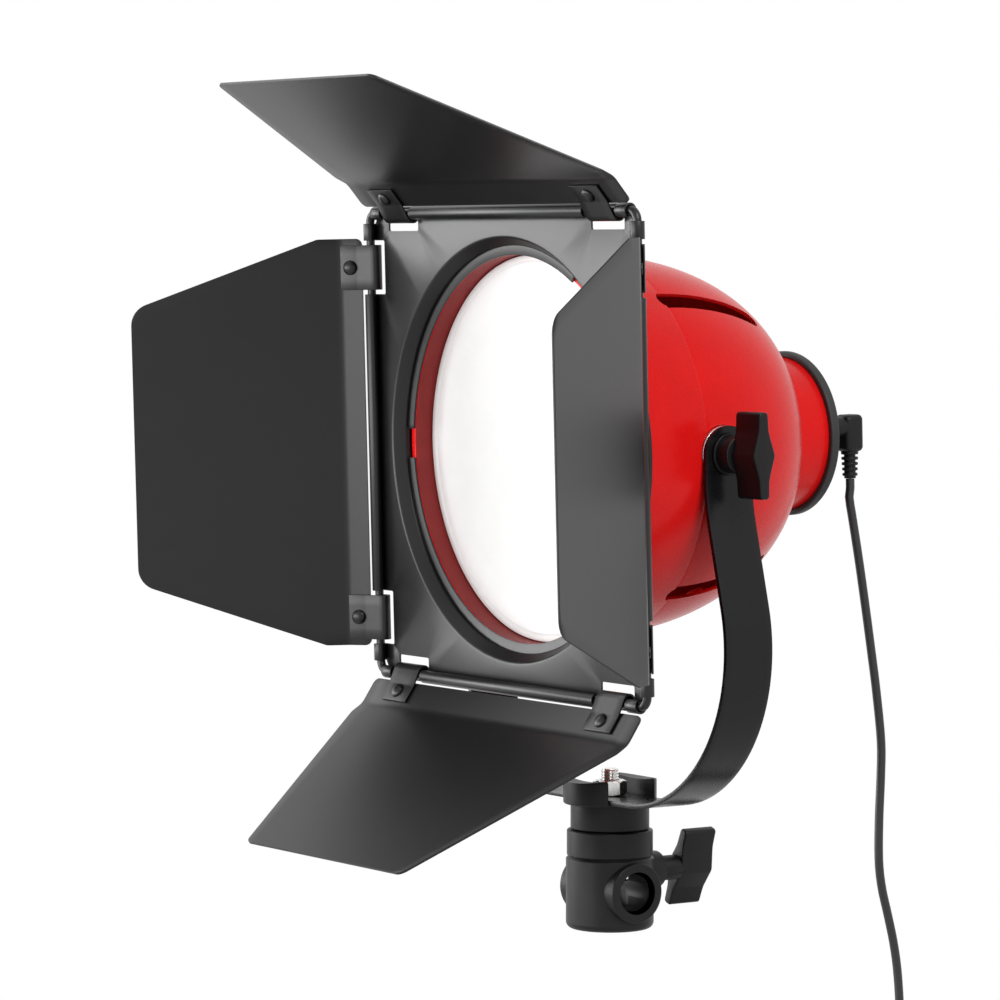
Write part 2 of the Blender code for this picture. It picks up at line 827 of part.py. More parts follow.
def build_door(side, turning):
    """One barn door on its hinge line: leaf, clips and rivets."""
    clock = DOOR_CLOCK[side]
    half = HOOP_SIDE / 2
    hinge = new_empty(
        f"{side}_hinge",
        turning,
        (half * math.sin(clock), 0, half * math.cos(clock)),
        (90 * DEG - DOOR_REST[side], clock, 0),
    )
    leaf = add_part(f"door_{side}", leaf_mesh(LEAF_STYLE[side]), "black_sheet", hinge)
    sheet = leaf.modifiers.new("sheet", "SOLIDIFY")
    sheet.thickness = LEAF_SHEET
    sheet.offset = 0
    sheet.use_even_offset = True
    cut(leaf, joined("holes", [rivet_hole(-CLIP_OFFSET), rivet_hole(CLIP_OFFSET)]))
    reach = CLIP_WIDTH / 2
    for number, place in enumerate((-CLIP_OFFSET, CLIP_OFFSET), 1):
        strip = prism(clip_section(), "YZ", place - reach, place + reach)
        clip = add_part(f"clip_{side}_{number}", strip, "black_sheet", hinge)
        cut(clip, rivet_hole(place))
        seat = (place, 0, RIVET_HEIGHT_ON_LEAF)
        name = f"rivet_{side}_{number}"
        turned(name, rivet_profile(), "black_sheet", hinge, "-Y", seat, TINY_STEPS)


# Housing


def band_radius(back):
    """Outer radius of the housing's front band, which narrows evenly to the crease."""
    share = (back - rim_front()) / (CREASE_BACK - rim_front())
    return RIM_RADIUS + (CREASE_FRONT_RADIUS - RIM_RADIUS) * share


def groove_back():
    """The middle of the dimples' groove, behind the collar's lip."""
    return lip_front() + SHEET + COLLAR_LENGTH / 2


def dome_curve():
    """The dome's outer curve from the crease to the drum, a superellipse: length and radius
    follow the sine and the cosine of one angle, each raised to its own power."""
    depth = CREASE_REAR_RADIUS - DOME_FLAT_RADIUS
    edge = (DRUM_RADIUS + GAP - DOME_FLAT_RADIUS) / depth
    last = math.acos(edge ** (DOME_SIDE_POWER / 2))
    points = []
    for k in range(DOME_POINTS + 1):
        a = last * k / DOME_POINTS
        back = CREASE_BACK + DOME_LENGTH * math.sin(a) ** (2 / DOME_BACK_POWER)
        points.append((DOME_FLAT_RADIUS + depth * math.cos(a) ** (2 / DOME_SIDE_POWER), back))
    return points


def dome_end():
    """Where the dome's outer curve meets the drum."""
    return dome_curve()[-1][1]


def inner_wall(outer, wall):
    """Points one wall inside a profile of (radius, back) that runs from front to rear."""
    points = []
    for k, point in enumerate(outer):
        before = Vector(outer[max(k - 1, 0)])
        after = Vector(outer[min(k + 1, len(outer) - 1)])
        along = (after - before).normalized()
        points.append((point[0] - along.y * wall, point[1] + along.x * wall))
    return points


def housing_profile():
    """Half section of the shell: rim, groove, crease, dome, and the ledge inside."""
    dome = dome_curve()
    groove = groove_back()
    half_groove = DIMPLE_RADIUS + BORE_GAP
    bottom = band_radius(groove) - GROOVE_DEPTH
    outer = [
        *dome[::-1],
        (CREASE_FRONT_RADIUS, CREASE_BACK - CREASE_STEP),
        (band_radius(groove + half_groove), groove + half_groove),
        (bottom, groove + half_groove),
        (bottom, groove - half_groove),
        (band_radius(groove - half_groove), groove - half_groove),
        (RIM_RADIUS, rim_front()),
    ]
    ledge = DIFFUSER_FRONT + DIFFUSER_RIM + GAP
    behind = ledge + LEDGE_THICKNESS
    dome_inner = inner_wall(dome, HOUSING_WALL)
    dome_inner[0] = (CREASE_REAR_RADIUS - HOUSING_WALL, CREASE_BACK)
    dome_inner[-1] = (DRUM_RADIUS + GAP, dome_end() - HOUSING_WALL)
    inner = [
        (RIM_INNER, rim_front()),
        (RIM_INNER, ledge),
        (LEDGE_INNER, ledge),
        (LEDGE_INNER, behind),
        (band_radius(behind) - HOUSING_WALL, behind),
        *dome_inner,
    ]
    return outer + inner


def slot_cutters():
    """Solids of the six long vent slots, each with round ends."""
    half = SLOT_WIDTH / 2
    outline = arc((0, SLOT_REAR - half), half, 0, 180 * DEG, 6)
    outline += arc((0, SLOT_FRONT + half), half, 180 * DEG, 360 * DEG, 6)
    return joined(
        "slots",
        [clocked(prism(outline, "XY", 50 * MM, 95 * MM), clock) for clock in SLOT_CLOCKS],
    )


def build_housing(lamp):
    """The red shell, with its vent slots and the holes for the pivot bosses."""
    shell = turned("housing_shell", housing_profile(), "red_paint", lamp, "+Y", steps=LARGE_STEPS)
    cut(shell, slot_cutters())
    reach = RIM_RADIUS + 5 * MM
    inside = BOSS_FLANGE_OUTER - BOSS_FLANGE[1]
    holes = [
        cylinder(BOSS_RADIUS + GAP, low, high, "+X", pivot_in_lamp(), MEDIUM_STEPS)
        for low, high in ((-reach, -inside), (inside, reach))
    ]
    cut(shell, joined("boss_holes", holes))
    return shell


def build_rear(lamp):
    """Drum, trim ring and panel at the housing's back."""
    inner = DRUM_RADIUS - DRUM_WALL
    drum = [
        (DRUM_RADIUS, DRUM_REAR),
        (DRUM_RADIUS, DRUM_FRONT + DRUM_WALL),
        (DRUM_RADIUS + DRUM_FLANGE, DRUM_FRONT + DRUM_WALL),
        (DRUM_RADIUS + DRUM_FLANGE, DRUM_FRONT),
        (inner, DRUM_FRONT),
        (inner, DRUM_REAR),
    ]
    turned("rear_drum", drum, "red_paint", lamp, "+Y", steps=LARGE_STEPS)
    panel_front = DRUM_REAR + GAP
    lip = panel_front + PANEL_THICKNESS + GAP
    bore = DRUM_RADIUS + GAP
    back = lip + TRIM_LIP_THICKNESS
    front = DRUM_REAR - TRIM_OVERLAP
    ring = [
        (TRIM_RADIUS - TRIM_EDGE, back),
        (TRIM_RADIUS - 0.26 * TRIM_EDGE, back - 0.26 * TRIM_EDGE),
        (TRIM_RADIUS, back - TRIM_EDGE),
        (TRIM_RADIUS, front + TRIM_EDGE),
        (TRIM_RADIUS - TRIM_EDGE, front),
        (bore, front),
        (bore, lip),
        (TRIM_LIP_INNER, lip),
        (TRIM_LIP_INNER, back),
    ]
    turned("rear_trim_ring", ring, "rubber", lamp, "+Y", steps=LARGE_STEPS)
    panel = add_part(
        "rear_panel",
        cylinder(DRUM_RADIUS, panel_front, panel_front + PANEL_THICKNESS, "+Y", steps=LARGE_STEPS),
        "black_plastic",
        lamp,
    )
    low, high = panel_front - TRIM_EDGE, panel_front + PANEL_THICKNESS + TRIM_EDGE
    x, z = INLET_PLACE
    cut(panel, cylinder(INLET_BARREL + GAP, low, high, "+Y", (x, 0, z), SMALL_STEPS))
    width, height = (size / 2 + GAP for size in SWITCH_SIZE)
    x, z = SWITCH_PLACE
    cut(panel, box((x - width, low, z - height), (x + width, high, z + height)))
    return panel, panel_front + PANEL_THICKNESS


def build_controls(lamp, panel_back):
    """DC inlet and rocker switch in the rear panel."""
    x, z = INLET_PLACE
    flange_radius, flange_height = INLET_FLANGE
    seat = panel_back + GAP
    inlet = [
        (flange_radius, seat + flange_height),
        (flange_radius, seat),
        (INLET_BARREL, seat),
        (INLET_BARREL, seat - INLET_LENGTH),
        (0, seat - INLET_LENGTH),
        (0, seat - INLET_LENGTH + 1.5 * MM),
        (PLUG_PIN + GAP, seat - INLET_LENGTH + 1.5 * MM),
        (PLUG_PIN + GAP, seat + flange_height),
    ]
    turned("dc_inlet", ring_free(inlet), "black_plastic", lamp, "+Y", (x, 0, z), SMALL_STEPS)
    x, z = SWITCH_PLACE
    width, height = (size / 2 for size in SWITCH_SIZE)
    body = add_part(
        "switch_body",
        box(
            (x - width, seat - SWITCH_DEPTH, z - height),
            (x + width, seat + 0.05 * MM, z + height),
        ),
        "black_plastic",
        lamp,
    )
    edge = SWITCH_BEZEL
    fuse(
        body,
        box(
            (x - width - edge, seat, z - height - edge),
            (x + width + edge, seat + edge, z + height + edge),
        ),
    )
    pocket = (width - 1.4 * MM, height - 1.4 * MM)
    cut(
        body,
        box(
            (x - pocket[0], seat - SWITCH_DEPTH + 2 * MM, z - pocket[1]),
            (x + pocket[0], seat + 5 * MM, z + pocket[1]),
        ),
    )
    build_rocker(lamp, seat, pocket)


def ring_free(profile):
    """A profile with a blind bore runs from the axis round to the axis, bore first."""
    start = next(k for k, point in enumerate(profile) if point[0] == 0)
    return profile[start + 1 :] + profile[: start + 1]


def build_rocker(lamp, seat, pocket):
    """The rocker, a wedge-topped block on its own pivot in the switch body's pocket."""
    x, z = SWITCH_PLACE
    axis_back = seat - ROCKER_AXIS_DEPTH
    pivot = new_empty("rocker_pivot", lamp, (x, axis_back, z), (ROCKER_TILT, 0, 0))
    half = pocket[1] - 1.2 * MM
    crown = ROCKER_AXIS_DEPTH + SWITCH_BEZEL + 0.4 * MM
    outline = [
        (crown - 1.2 * MM, 0),
        (crown + 1.0 * MM, half),
        (crown - 4.4 * MM, half),
        (-3.6 * MM, 3 * MM),
        (-3.6 * MM, -3 * MM),
        (crown - 4.4 * MM, -half),
        (crown + 1.0 * MM, -half),
    ]
    width = pocket[0] - GAP
    add_part("switch_rocker", prism(outline, "YZ", -width, width), "black_plastic", pivot)


# Light engine


def build_diffuser(lamp):
    """The opal disc on the housing's ledge, thick at the rim and slightly dished."""
    front, back = DIFFUSER_FRONT, DIFFUSER_FRONT + DIFFUSER_RIM
    rim = DIFFUSER_RADIUS - 4 * MM
    dish = 0.6 * MM
    middle = [
        (rim * share, front + dish + DIFFUSER_DISH * (1 - share**2))
        for share in (1.0, 0.6, 0.0)
    ]
    rear = [(radius, back_of + DIFFUSER_THICKNESS) for radius, back_of in middle[::-1]]
    profile = [
        *rear,
        (DIFFUSER_RADIUS - 2.5 * MM, back),
        (DIFFUSER_RADIUS, back),
        (DIFFUSER_RADIUS, front + 0.5 * MM),
        (DIFFUSER_RADIUS - 0.5 * MM, front),
        (rim + 1.5 * MM, front),
        *middle,
    ]
    turned("diffuser", profile, "opal", lamp, "+Y", steps=LARGE_STEPS)


def build_reflector(lamp):
    """A white cone from the LED board out to the back of the housing's ledge."""
    front = DIFFUSER_FRONT + DIFFUSER_RIM + GAP + LEDGE_THICKNESS + GAP
    back = BOARD_FRONT - 1.6 * MM
    wall = REFLECTOR_WALL
    flange = RIM_INNER - 1.0 * MM
    profile = [
        (REFLECTOR_THROAT + wall, back),
        (REFLECTOR_MOUTH + wall, front + wall),
        (flange, front + wall),
        (flange, front),
        (REFLECTOR_MOUTH, front),
        (REFLECTOR_THROAT, back),
    ]
    turned("reflector", profile, "white_plastic", lamp, "+Y", steps=LARGE_STEPS)


def build_leds(lamp):
    """The LED board with its round light module, on the face of the heat sink."""
    back = BOARD_FRONT + BOARD_THICKNESS
    board = cylinder(BOARD_RADIUS, BOARD_FRONT, back, "+Y", steps=MEDIUM_STEPS)
    add_part("led_board", board, "board_white", lamp)
    rear = BOARD_FRONT - GAP
    module = cylinder(MODULE_RADIUS, rear - MODULE_HEIGHT, rear, "+Y", steps=SMALL_STEPS)
    add_part("led_module", module, "led_yellow", lamp)
    return back


def build_heat_sink(lamp, board_back):
    """An extruded heat sink, whose fins leave room for the bracket across its middle."""
    thickness, depth = SINK_FIN
    half = SINK_SIDE / 2
    front = board_back + GAP
    base = front + SINK_BASE
    room = BRACKET_WIDTH / 2 + 1.5 * MM
    pitch = (half - thickness - room) / (SINK_FINS_PER_SIDE - 1)
    upper = []
    for k in range(SINK_FINS_PER_SIDE):
        low = room + pitch * k
        upper += [(base, low), (base + depth, low), (base + depth, low + thickness)]
        upper += [(base, low + thickness)]
    upper = upper[:-1]
    lower = [(back, -height) for back, height in upper[::-1]]
    outline = [(front, -half), *lower, *upper, (front, half)]
    add_part("heat_sink", prism(outline, "YZ", -half, half), "aluminium", lamp)
    return base


def build_bracket(lamp, sink_base):
    """A bent strap inside the housing, between the pivot bosses and behind the heat sink."""
    half = BRACKET_SHEET / 2
    leg = BOSS_FLANGE_OUTER - BOSS_FLANGE[1] - GAP - half
    web = sink_base + GAP + half
    front = PIVOT_BACK - 10 * MM
    bend = arc((-leg + 4 * MM, web - 4 * MM), 4 * MM, 180 * DEG, 90 * DEG, 3)
    path = [(-leg, front), *bend]
    path += [(-x, y) for x, y in path[::-1]]
    width = BRACKET_WIDTH / 2
    bracket = add_part(
        "inner_bracket",
        prism(thick_path(path, BRACKET_SHEET), "XY", -width - PIVOT_DROP, width - PIVOT_DROP),
        "zinc",
        lamp,
    )
    reach = BOSS_FLANGE_OUTER
    cut(
        bracket,
        cylinder(SCREW_RADIUS + BORE_GAP, -reach, reach, "+X", pivot_in_lamp(), SMALL_STEPS),
    )


def build_driver(lamp, panel):
    """The driver board in the drum, its components, and the panel's posts that carry it."""
    front = DRIVER_BOARD_FRONT
    back = front + BOARD_THICKNESS
    board = cylinder(DRIVER_BOARD_RADIUS, front, back, "+Y", steps=MEDIUM_STEPS)
    add_part("driver_board", board, "board_green", lamp)
    top = front - GAP
    core = box((-15 * MM, top - 14 * MM, -16 * MM), (3 * MM, top, 2 * MM))
    add_part("driver_transformer", core, "led_yellow", lamp)
    can = cylinder(5 * MM, top - 16 * MM, top, "+Y", (10 * MM, 0, 10 * MM), SMALL_STEPS)
    add_part("driver_capacitor", can, "aluminium", lamp)
    posts = []
    for angle in (90 * DEG, 215 * DEG, 325 * DEG):
        centre = (POST_CIRCLE * math.cos(angle), 0, POST_CIRCLE * math.sin(angle))
        end = DRUM_REAR + PANEL_THICKNESS / 2
        posts.append(cylinder(POST_RADIUS, back + GAP, end, "+Y", centre, TINY_STEPS))
    fuse(panel, joined("driver_posts", posts))


# Pivot hardware


def pivot_in_lamp():
    """The tilt pivot, in the lamp frame."""
    return (0, PIVOT_BACK, -PIVOT_DROP)


def build_bosses(head):
    """The two threaded bosses through the housing's sides, flanged inside."""
    flange_radius, flange_height = BOSS_FLANGE
    inner = BOSS_FLANGE_OUTER - flange_height
    bore = SCREW_RADIUS + BORE_GAP
    profile = [
        (BOSS_RADIUS, STRAP_INNER - GAP),
        (BOSS_RADIUS, BOSS_FLANGE_OUTER),
        (flange_radius, BOSS_FLANGE_OUTER),
        (flange_radius, inner),
        (bore, inner),
        (bore, STRAP_INNER - GAP),
    ]
    turned("pivot_boss_left", profile, "zinc", head, "+X")
    turned("pivot_boss_right", profile, "zinc", head, "-X")


def knob_mesh(start):
    """A wing knob's body: a lens outline, drawn out along Z from its start."""
    half, middle, tip = KNOB_HEIGHT / 2, KNOB_MIDDLE / 2, KNOB_TIP / 2
    corners = [
        (middle, 0, 4 * MM),
        (tip + 0.4 * MM, half * 0.55, 14 * MM),
        (tip, half, 1.6 * MM),
        (-tip, half, 1.6 * MM),
        (-tip - 0.4 * MM, half * 0.55, 14 * MM),
        (-middle, 0, 4 * MM),
        (-tip - 0.4 * MM, -half * 0.55, 14 * MM),
        (-tip, -half, 1.6 * MM),
        (tip, -half, 1.6 * MM),
        (tip + 0.4 * MM, -half * 0.55, 14 * MM),
    ]
    return prism(rounded(corners, 3), "XY", start, start + KNOB_LENGTH)


def build_knob(name, parent, hub, hub_start, axis, turn=0.0):
    """A wing knob on a round hub, with a blind bore for its screw, along an axis."""
    hub_radius, hub_length = hub
    place = axis_matrix(axis) @ Matrix.Rotation(turn, 4, "Z")
    body_start = hub_start + hub_length
    body = moved(knob_mesh(body_start), place)
    knob = add_part(name, body, "black_plastic", parent)
    hub_mesh = cylinder(hub_radius, hub_start, body_start + 1 * MM, steps=MEDIUM_STEPS)
    fuse(knob, moved(hub_mesh, place))
    bore = cylinder(
        SCREW_RADIUS + BORE_GAP, hub_start - 1 * MM, hub_start + KNOB_BORE_DEPTH, steps=SMALL_STEPS
    )
    cut(knob, moved(bore, place))
    return hub_start + KNOB_BORE_DEPTH - GAP


def build_pivot_hardware(head):
    """Tilt knob and screw on the left side, bolt on the right, and the washers under them."""
    washer_radius, washer_height = PIVOT_WASHER
    seat = STRAP_INNER + STRAP + GAP
    pivot = (0, 0, PIVOT_HEIGHT)
    profile = [
        (washer_radius, seat + washer_height),
        (washer_radius, seat),
        (SCREW_RADIUS + BORE_GAP, seat),
        (SCREW_RADIUS + BORE_GAP, seat + washer_height),
    ]
    turned("pivot_washer_left", profile, "black_plastic", None, "+X", pivot, SMALL_STEPS)
    turned("pivot_washer_right", profile, "black_plastic", None, "-X", pivot, SMALL_STEPS)
    start = seat + washer_height + GAP
    end = build_knob("tilt_knob", head, KNOB_HUB, start, "+X", 90 * DEG)
    screw = cylinder(SCREW_RADIUS, SCREW_INNER_END, end, "+X", steps=SMALL_STEPS)
    add_part("tilt_screw", screw, "zinc", head)
    bolt = cylinder(SCREW_RADIUS, SCREW_INNER_END, start + 1 * MM, "-X", steps=SMALL_STEPS)
    bolt = add_part("pivot_bolt", bolt, "zinc", head)
    fuse(bolt, cylinder(HEX_RADIUS, start, start + HEX_HEAD, "-X", steps=6))


# Yoke and stand adapter


def strap_path():
    """The strap's middle line in the plane across the light: down, out, round and across.

    Each arm drops straight from the pivot, bends outwards by the flare and runs on as a
    tangent of the lower corner's arc.
    """
    arm = STRAP_INNER + STRAP / 2
    centre = (STRAP_INNER - STRAP_ARC_INSET, PIVOT_HEIGHT - STRAP_ARC_DROP)
    corner = arc(centre, STRAP_ARC, STRAP_FLARE, -90 * DEG, 9)
    knee = Vector((arm, corner[0][1] + (corner[0][0] - arm) / math.tan(STRAP_FLARE)))
    above = knee + Vector((0, STRAP_KNEE))
    below = knee + Vector((math.sin(STRAP_FLARE), -math.cos(STRAP_FLARE))) * STRAP_KNEE
    bend = [
        above * (1 - t) ** 2 + knee * 2 * t * (1 - t) + below * t**2
        for t in (0, 0.25, 0.5, 0.75, 1)
    ]
    half = [(arm, PIVOT_HEIGHT + STRAP_WIDTH / 2), *(tuple(point) for point in bend), *corner]
    return half + [(-x, z) for x, z in half[::-1]]


def build_yoke():
    """The flat strap, with round ends at the pivots and a bolt hole at the bottom."""
    half = STRAP_WIDTH / 2
    strap = add_part(
        "yoke_strap", prism(thick_path(strap_path(), STRAP), "XZ", -half, half), "yoke_black"
    )
    outline = [(half, 0), *arc((0, PIVOT_HEIGHT), half, 0, 180 * DEG, 10), (-half, 0)]
    reach = STRAP_INNER + STRAP_ARC
    keep(strap, prism(outline, "YZ", -reach, reach))
    bore = SCREW_RADIUS + BORE_GAP
    cut(strap, cylinder(bore, -reach, reach, "+X", (0, 0, PIVOT_HEIGHT), SMALL_STEPS))
    cut(strap, cylinder(bore, COLLAR_TOP, STRAP_LOW + 2 * NUT_HEIGHT, "+Z", steps=SMALL_STEPS))


def build_fork():
    """The adapter's head: a round block with two curved walls that hold the strap."""
    floor = STRAP_LOW - GAP
    foot = COLLAR_TOP + GAP
    stub_radius, stub_length = FORK_STUB
    profile = [
        (0, floor),
        (FORK_RADIUS, floor),
        (FORK_RADIUS, foot),
        (stub_radius, foot),
        (stub_radius, foot - stub_length),
        (0, foot - stub_length),
    ]
    fork = turned("fork_head", profile, "black_plastic", steps=MEDIUM_STEPS)
    low, high = floor - FORK_WALL_ROOT, floor + FORK_WALL_HEIGHT
    fuse(fork, cylinder(FORK_WALL_RADIUS, low, high, steps=MEDIUM_STEPS))
    half = STRAP_WIDTH / 2 + FORK_SLOT_GAP
    reach = FORK_WALL_RADIUS + 10 * MM
    cut(fork, box((-reach, -half, floor), (reach, half, floor + 3 * FORK_WALL_HEIGHT)))
    cut(fork, cylinder(SCREW_RADIUS + BORE_GAP, 0, 100 * MM, steps=SMALL_STEPS))
    pocket = foot - stub_length + GAP + HEX_HEAD + GAP
    cut(fork, cylinder(HEX_RADIUS + GAP, 0, pocket, steps=6))
    bolt_head = foot - stub_length + GAP
    nut_low = STRAP_LOW + STRAP + GAP
    bolt_top = nut_low + NUT_HEIGHT + BOLT_PAST_NUT
    bolt = add_part(
        "yoke_bolt", cylinder(SCREW_RADIUS, bolt_head, bolt_top, steps=SMALL_STEPS), "zinc"
    )
    fuse(bolt, cylinder(HEX_RADIUS, bolt_head, bolt_head + HEX_HEAD, steps=6))
    nut = add_part("yoke_nut", cylinder(HEX_RADIUS, nut_low, nut_low + NUT_HEIGHT, steps=6), "zinc")
    cut(nut, cylinder(SCREW_RADIUS + BORE_GAP, 0, 100 * MM, steps=SMALL_STEPS))


def build_adapter():
    """The stand adapter: socket from below, cross socket, and the clamp screw's boss."""
    groove = COLLAR_GROOVE
    profile = [
        (0, COLLAR_TOP),
        (COLLAR_RADIUS - 0.6 * MM, COLLAR_TOP),
        (COLLAR_RADIUS, COLLAR_TOP - 0.6 * MM),
        (COLLAR_RADIUS, BODY_TOP + groove),
        (COLLAR_RADIUS - groove, BODY_TOP + groove / 2),
        (BODY_RADIUS, BODY_TOP - groove),
    ]
    fillet = arc((BODY_RADIUS - BODY_FILLET, BODY_FILLET), BODY_FILLET, 0, -90 * DEG, 4)
    body = turned("adapter_body", [*profile, *fillet, (0, 0)], "black_plastic")
    fuse(body, cylinder(CROSS_RADIUS, *CROSS_ENDS, "+X", (0, 0, CROSS_HEIGHT), CROSS_STEPS))
    boss_radius, boss_end = CLAMP_BOSS
    fuse(
        body,
        cylinder(
            boss_radius + 0.8 * MM,
            8 * MM,
            boss_end,
            "+Y",
            (0, 0, CLAMP_HEIGHT),
            MEDIUM_STEPS,
            end_radius=boss_radius - 0.6 * MM,
        ),
    )
    cut(body, cylinder(SOCKET_RADIUS, -5 * MM, SOCKET_DEPTH, steps=SOCKET_STEPS))
    across = (0, 0, CROSS_HEIGHT)
    cut(body, cylinder(SOCKET_RADIUS, -40 * MM, 40 * MM, "+X", across, CROSS_STEPS))
    mouth_radius, mouth_depth = CROSS_MOUTH
    low, high = CROSS_ENDS
    for start, end in ((high - mouth_depth, high + 5 * MM), (low - 5 * MM, low + mouth_depth)):
        cut(body, cylinder(mouth_radius, start, end, "+X", across, CROSS_STEPS))
    screw_hole = SCREW_RADIUS + BORE_GAP
    cut(body, cylinder(screw_hole, 0, 40 * MM, "+Y", (0, 0, CLAMP_HEIGHT), SMALL_STEPS))
    stub_radius, stub_length = FORK_STUB
    stub_low = COLLAR_TOP + GAP - stub_length - GAP
    cut(body, cylinder(stub_radius + GAP, stub_low, COLLAR_TOP + 5 * MM, steps=SOCKET_STEPS))


def build_clamp():
    """The wing knob and screw that lock the adapter on its stand."""
    turning = new_empty("clamp_axis", None, (0, 0, CLAMP_HEIGHT))
    start = CLAMP_BOSS[1] + GAP
    end = build_knob("clamp_knob", turning, CLAMP_KNOB_HUB, start, "+Y", CLAMP_KNOB_TURN)
    screw = cylinder(SCREW_RADIUS, SOCKET_RADIUS + 0.5 * MM, end, "+Y", steps=SMALL_STEPS)
    add_part("clamp_screw", screw, "zinc", turning)


# Plug and lead


def build_plug(lamp, panel_back):
    """The right-angle DC plug in its inlet, moulded in one with its ribbed strain relief."""
    x, z = INLET_PLACE
    neck_radius, neck_length = PLUG_NECK
    seat = panel_back + GAP + INLET_FLANGE[1] + GAP
    width, depth, height = PLUG_BODY
    front = seat + neck_length
    low = (x - width / 2, front, PLUG_BODY_TOP - height)
    high = (x + width / 2, front + depth, PLUG_BODY_TOP)
    plug = add_part("dc_plug", box(low, high, 2.4 * MM), "black_plastic", lamp)
    fuse(plug, cylinder(neck_radius, seat, front + 3 * MM, "+Y", (x, 0, z), SMALL_STEPS))
    pin_end = seat - INLET_FLANGE[1] - INLET_LENGTH + 4 * MM
    fuse(plug, cylinder(PLUG_PIN, pin_end, front + 2 * MM, "+Y", (x, 0, z), SMALL_STEPS))
    top = low[2]
    rib = RELIEF_LENGTH / RELIEF_RIBS
    profile = [(0, top + 2 * MM), (RELIEF_RIB, top + 2 * MM)]
    for k in range(RELIEF_RIBS):
        low_side = top - rib * (k + 0.55)
        radius = RELIEF_RIB - 0.5 * MM * k / (RELIEF_RIBS - 1)
        if k:
            profile += [(RELIEF_CORE, top - rib * k), (radius, top - rib * k)]
        profile += [(radius, low_side), (RELIEF_CORE, low_side)]
    profile += [(RELIEF_CORE, top - RELIEF_LENGTH), (0, top - RELIEF_LENGTH)]
    place = Matrix.Translation((x, front + depth / 2, 0))
    fuse(plug, moved(turned_mesh(profile, TINY_STEPS + 2), place))
    return Vector((x, front + depth / 2, top - RELIEF_LENGTH))


def smooth_route(points, step):
    """Evenly spaced points along a Catmull-Rom curve through the given points."""
    points = [Vector(point) for point in points]
    points = [2 * points[0] - points[1], *points, 2 * points[-1] - points[-2]]
    fine = []
    for k in range(1, len(points) - 2):
        a, b, c, d = points[k - 1 : k + 3]
        for share in range(20):
            t = share / 20
            fine.append(
                0.5
                * (
                    2 * b
                    + (c - a) * t
                    + (2 * a - 5 * b + 4 * c - d) * t**2
                    + (3 * b - a - 3 * c + d) * t**3
                )
            )
    fine.append(points[-2])
    lengths = [0.0]
    for before, after in zip(fine, fine[1:]):
        lengths.append(lengths[-1] + (after - before).length)
    count = max(2, round(lengths[-1] / step))
    route, k = [], 0
    for n in range(count + 1):
        target = lengths[-1] * n / count
        while k < len(fine) - 2 and lengths[k + 1] < target:
            k += 1
        share = (target - lengths[k]) / (lengths[k + 1] - lengths[k])
        route.append(fine[k].lerp(fine[k + 1], share))
    return route


def tube(points, radius, resolution):
    """A round tube along points, with flat caps."""
    curve = bpy.data.curves.new("tube", "CURVE")
    curve.dimensions = "3D"
    curve.bevel_depth = radius
    curve.bevel_resolution = resolution
    curve.use_fill_caps = True
    curve.render_resolution_u = 0
    spline = curve.splines.new("POLY")
    spline.points.add(len(points) - 1)
    for point, place in zip(spline.points, points):
        point.co = (*place, 1)
    return mesh_of_curve(curve)


def coil_points():
    """The coil's middle line. It starts and ends at its rear, running straight down.

    The radius falls and rises again at a steady rate, once for each pair of layers, and X
    climbs one pitch in the half turn round each reversal.
    """
    turns = COIL_LAYERS * COIL_TURNS_PER_LAYER
    centre = (COIL_REAR - COIL_OUTER, COIL_HIGH)
    steps = round(turns * COIL_POINTS_PER_TURN)
    points = [Vector((COIL_X, COIL_REAR, COIL_HIGH + COIL_END_RUN))]
    for k in range(steps + 1):
        turn = turns * k / steps
        phase = (turn / COIL_TURNS_PER_LAYER) % 2
        inward = min(phase, 2 - phase) * COIL_TURNS_PER_LAYER
        radius = COIL_OUTER - COIL_PITCH * inward
        layer = 0.0
        for reversal in range(1, COIL_LAYERS):
            share = (turn - reversal * COIL_TURNS_PER_LAYER) * 2 + 0.5
            share = min(1.0, max(0.0, share))
            layer += share
        angle = -turn * 2 * math.pi
        points.append(
            Vector(
                (
                    COIL_X + COIL_PITCH * layer,
                    centre[0] + radius * math.cos(angle),
                    centre[1] + radius * math.sin(angle),
                )
            )
        )
    points.append(points[-1] - Vector((0, 0, COIL_END_RUN)))
    return points


def coil_clearance(points):
    """The least gap between stretches of the coil that are half a turn or more apart."""
    least = 1.0
    apart = COIL_POINTS_PER_TURN // 2
    for k, point in enumerate(points):
        for other in points[k + apart :]:
            least = min(least, (point - other).length)
    return least - 2 * CORD_RADIUS


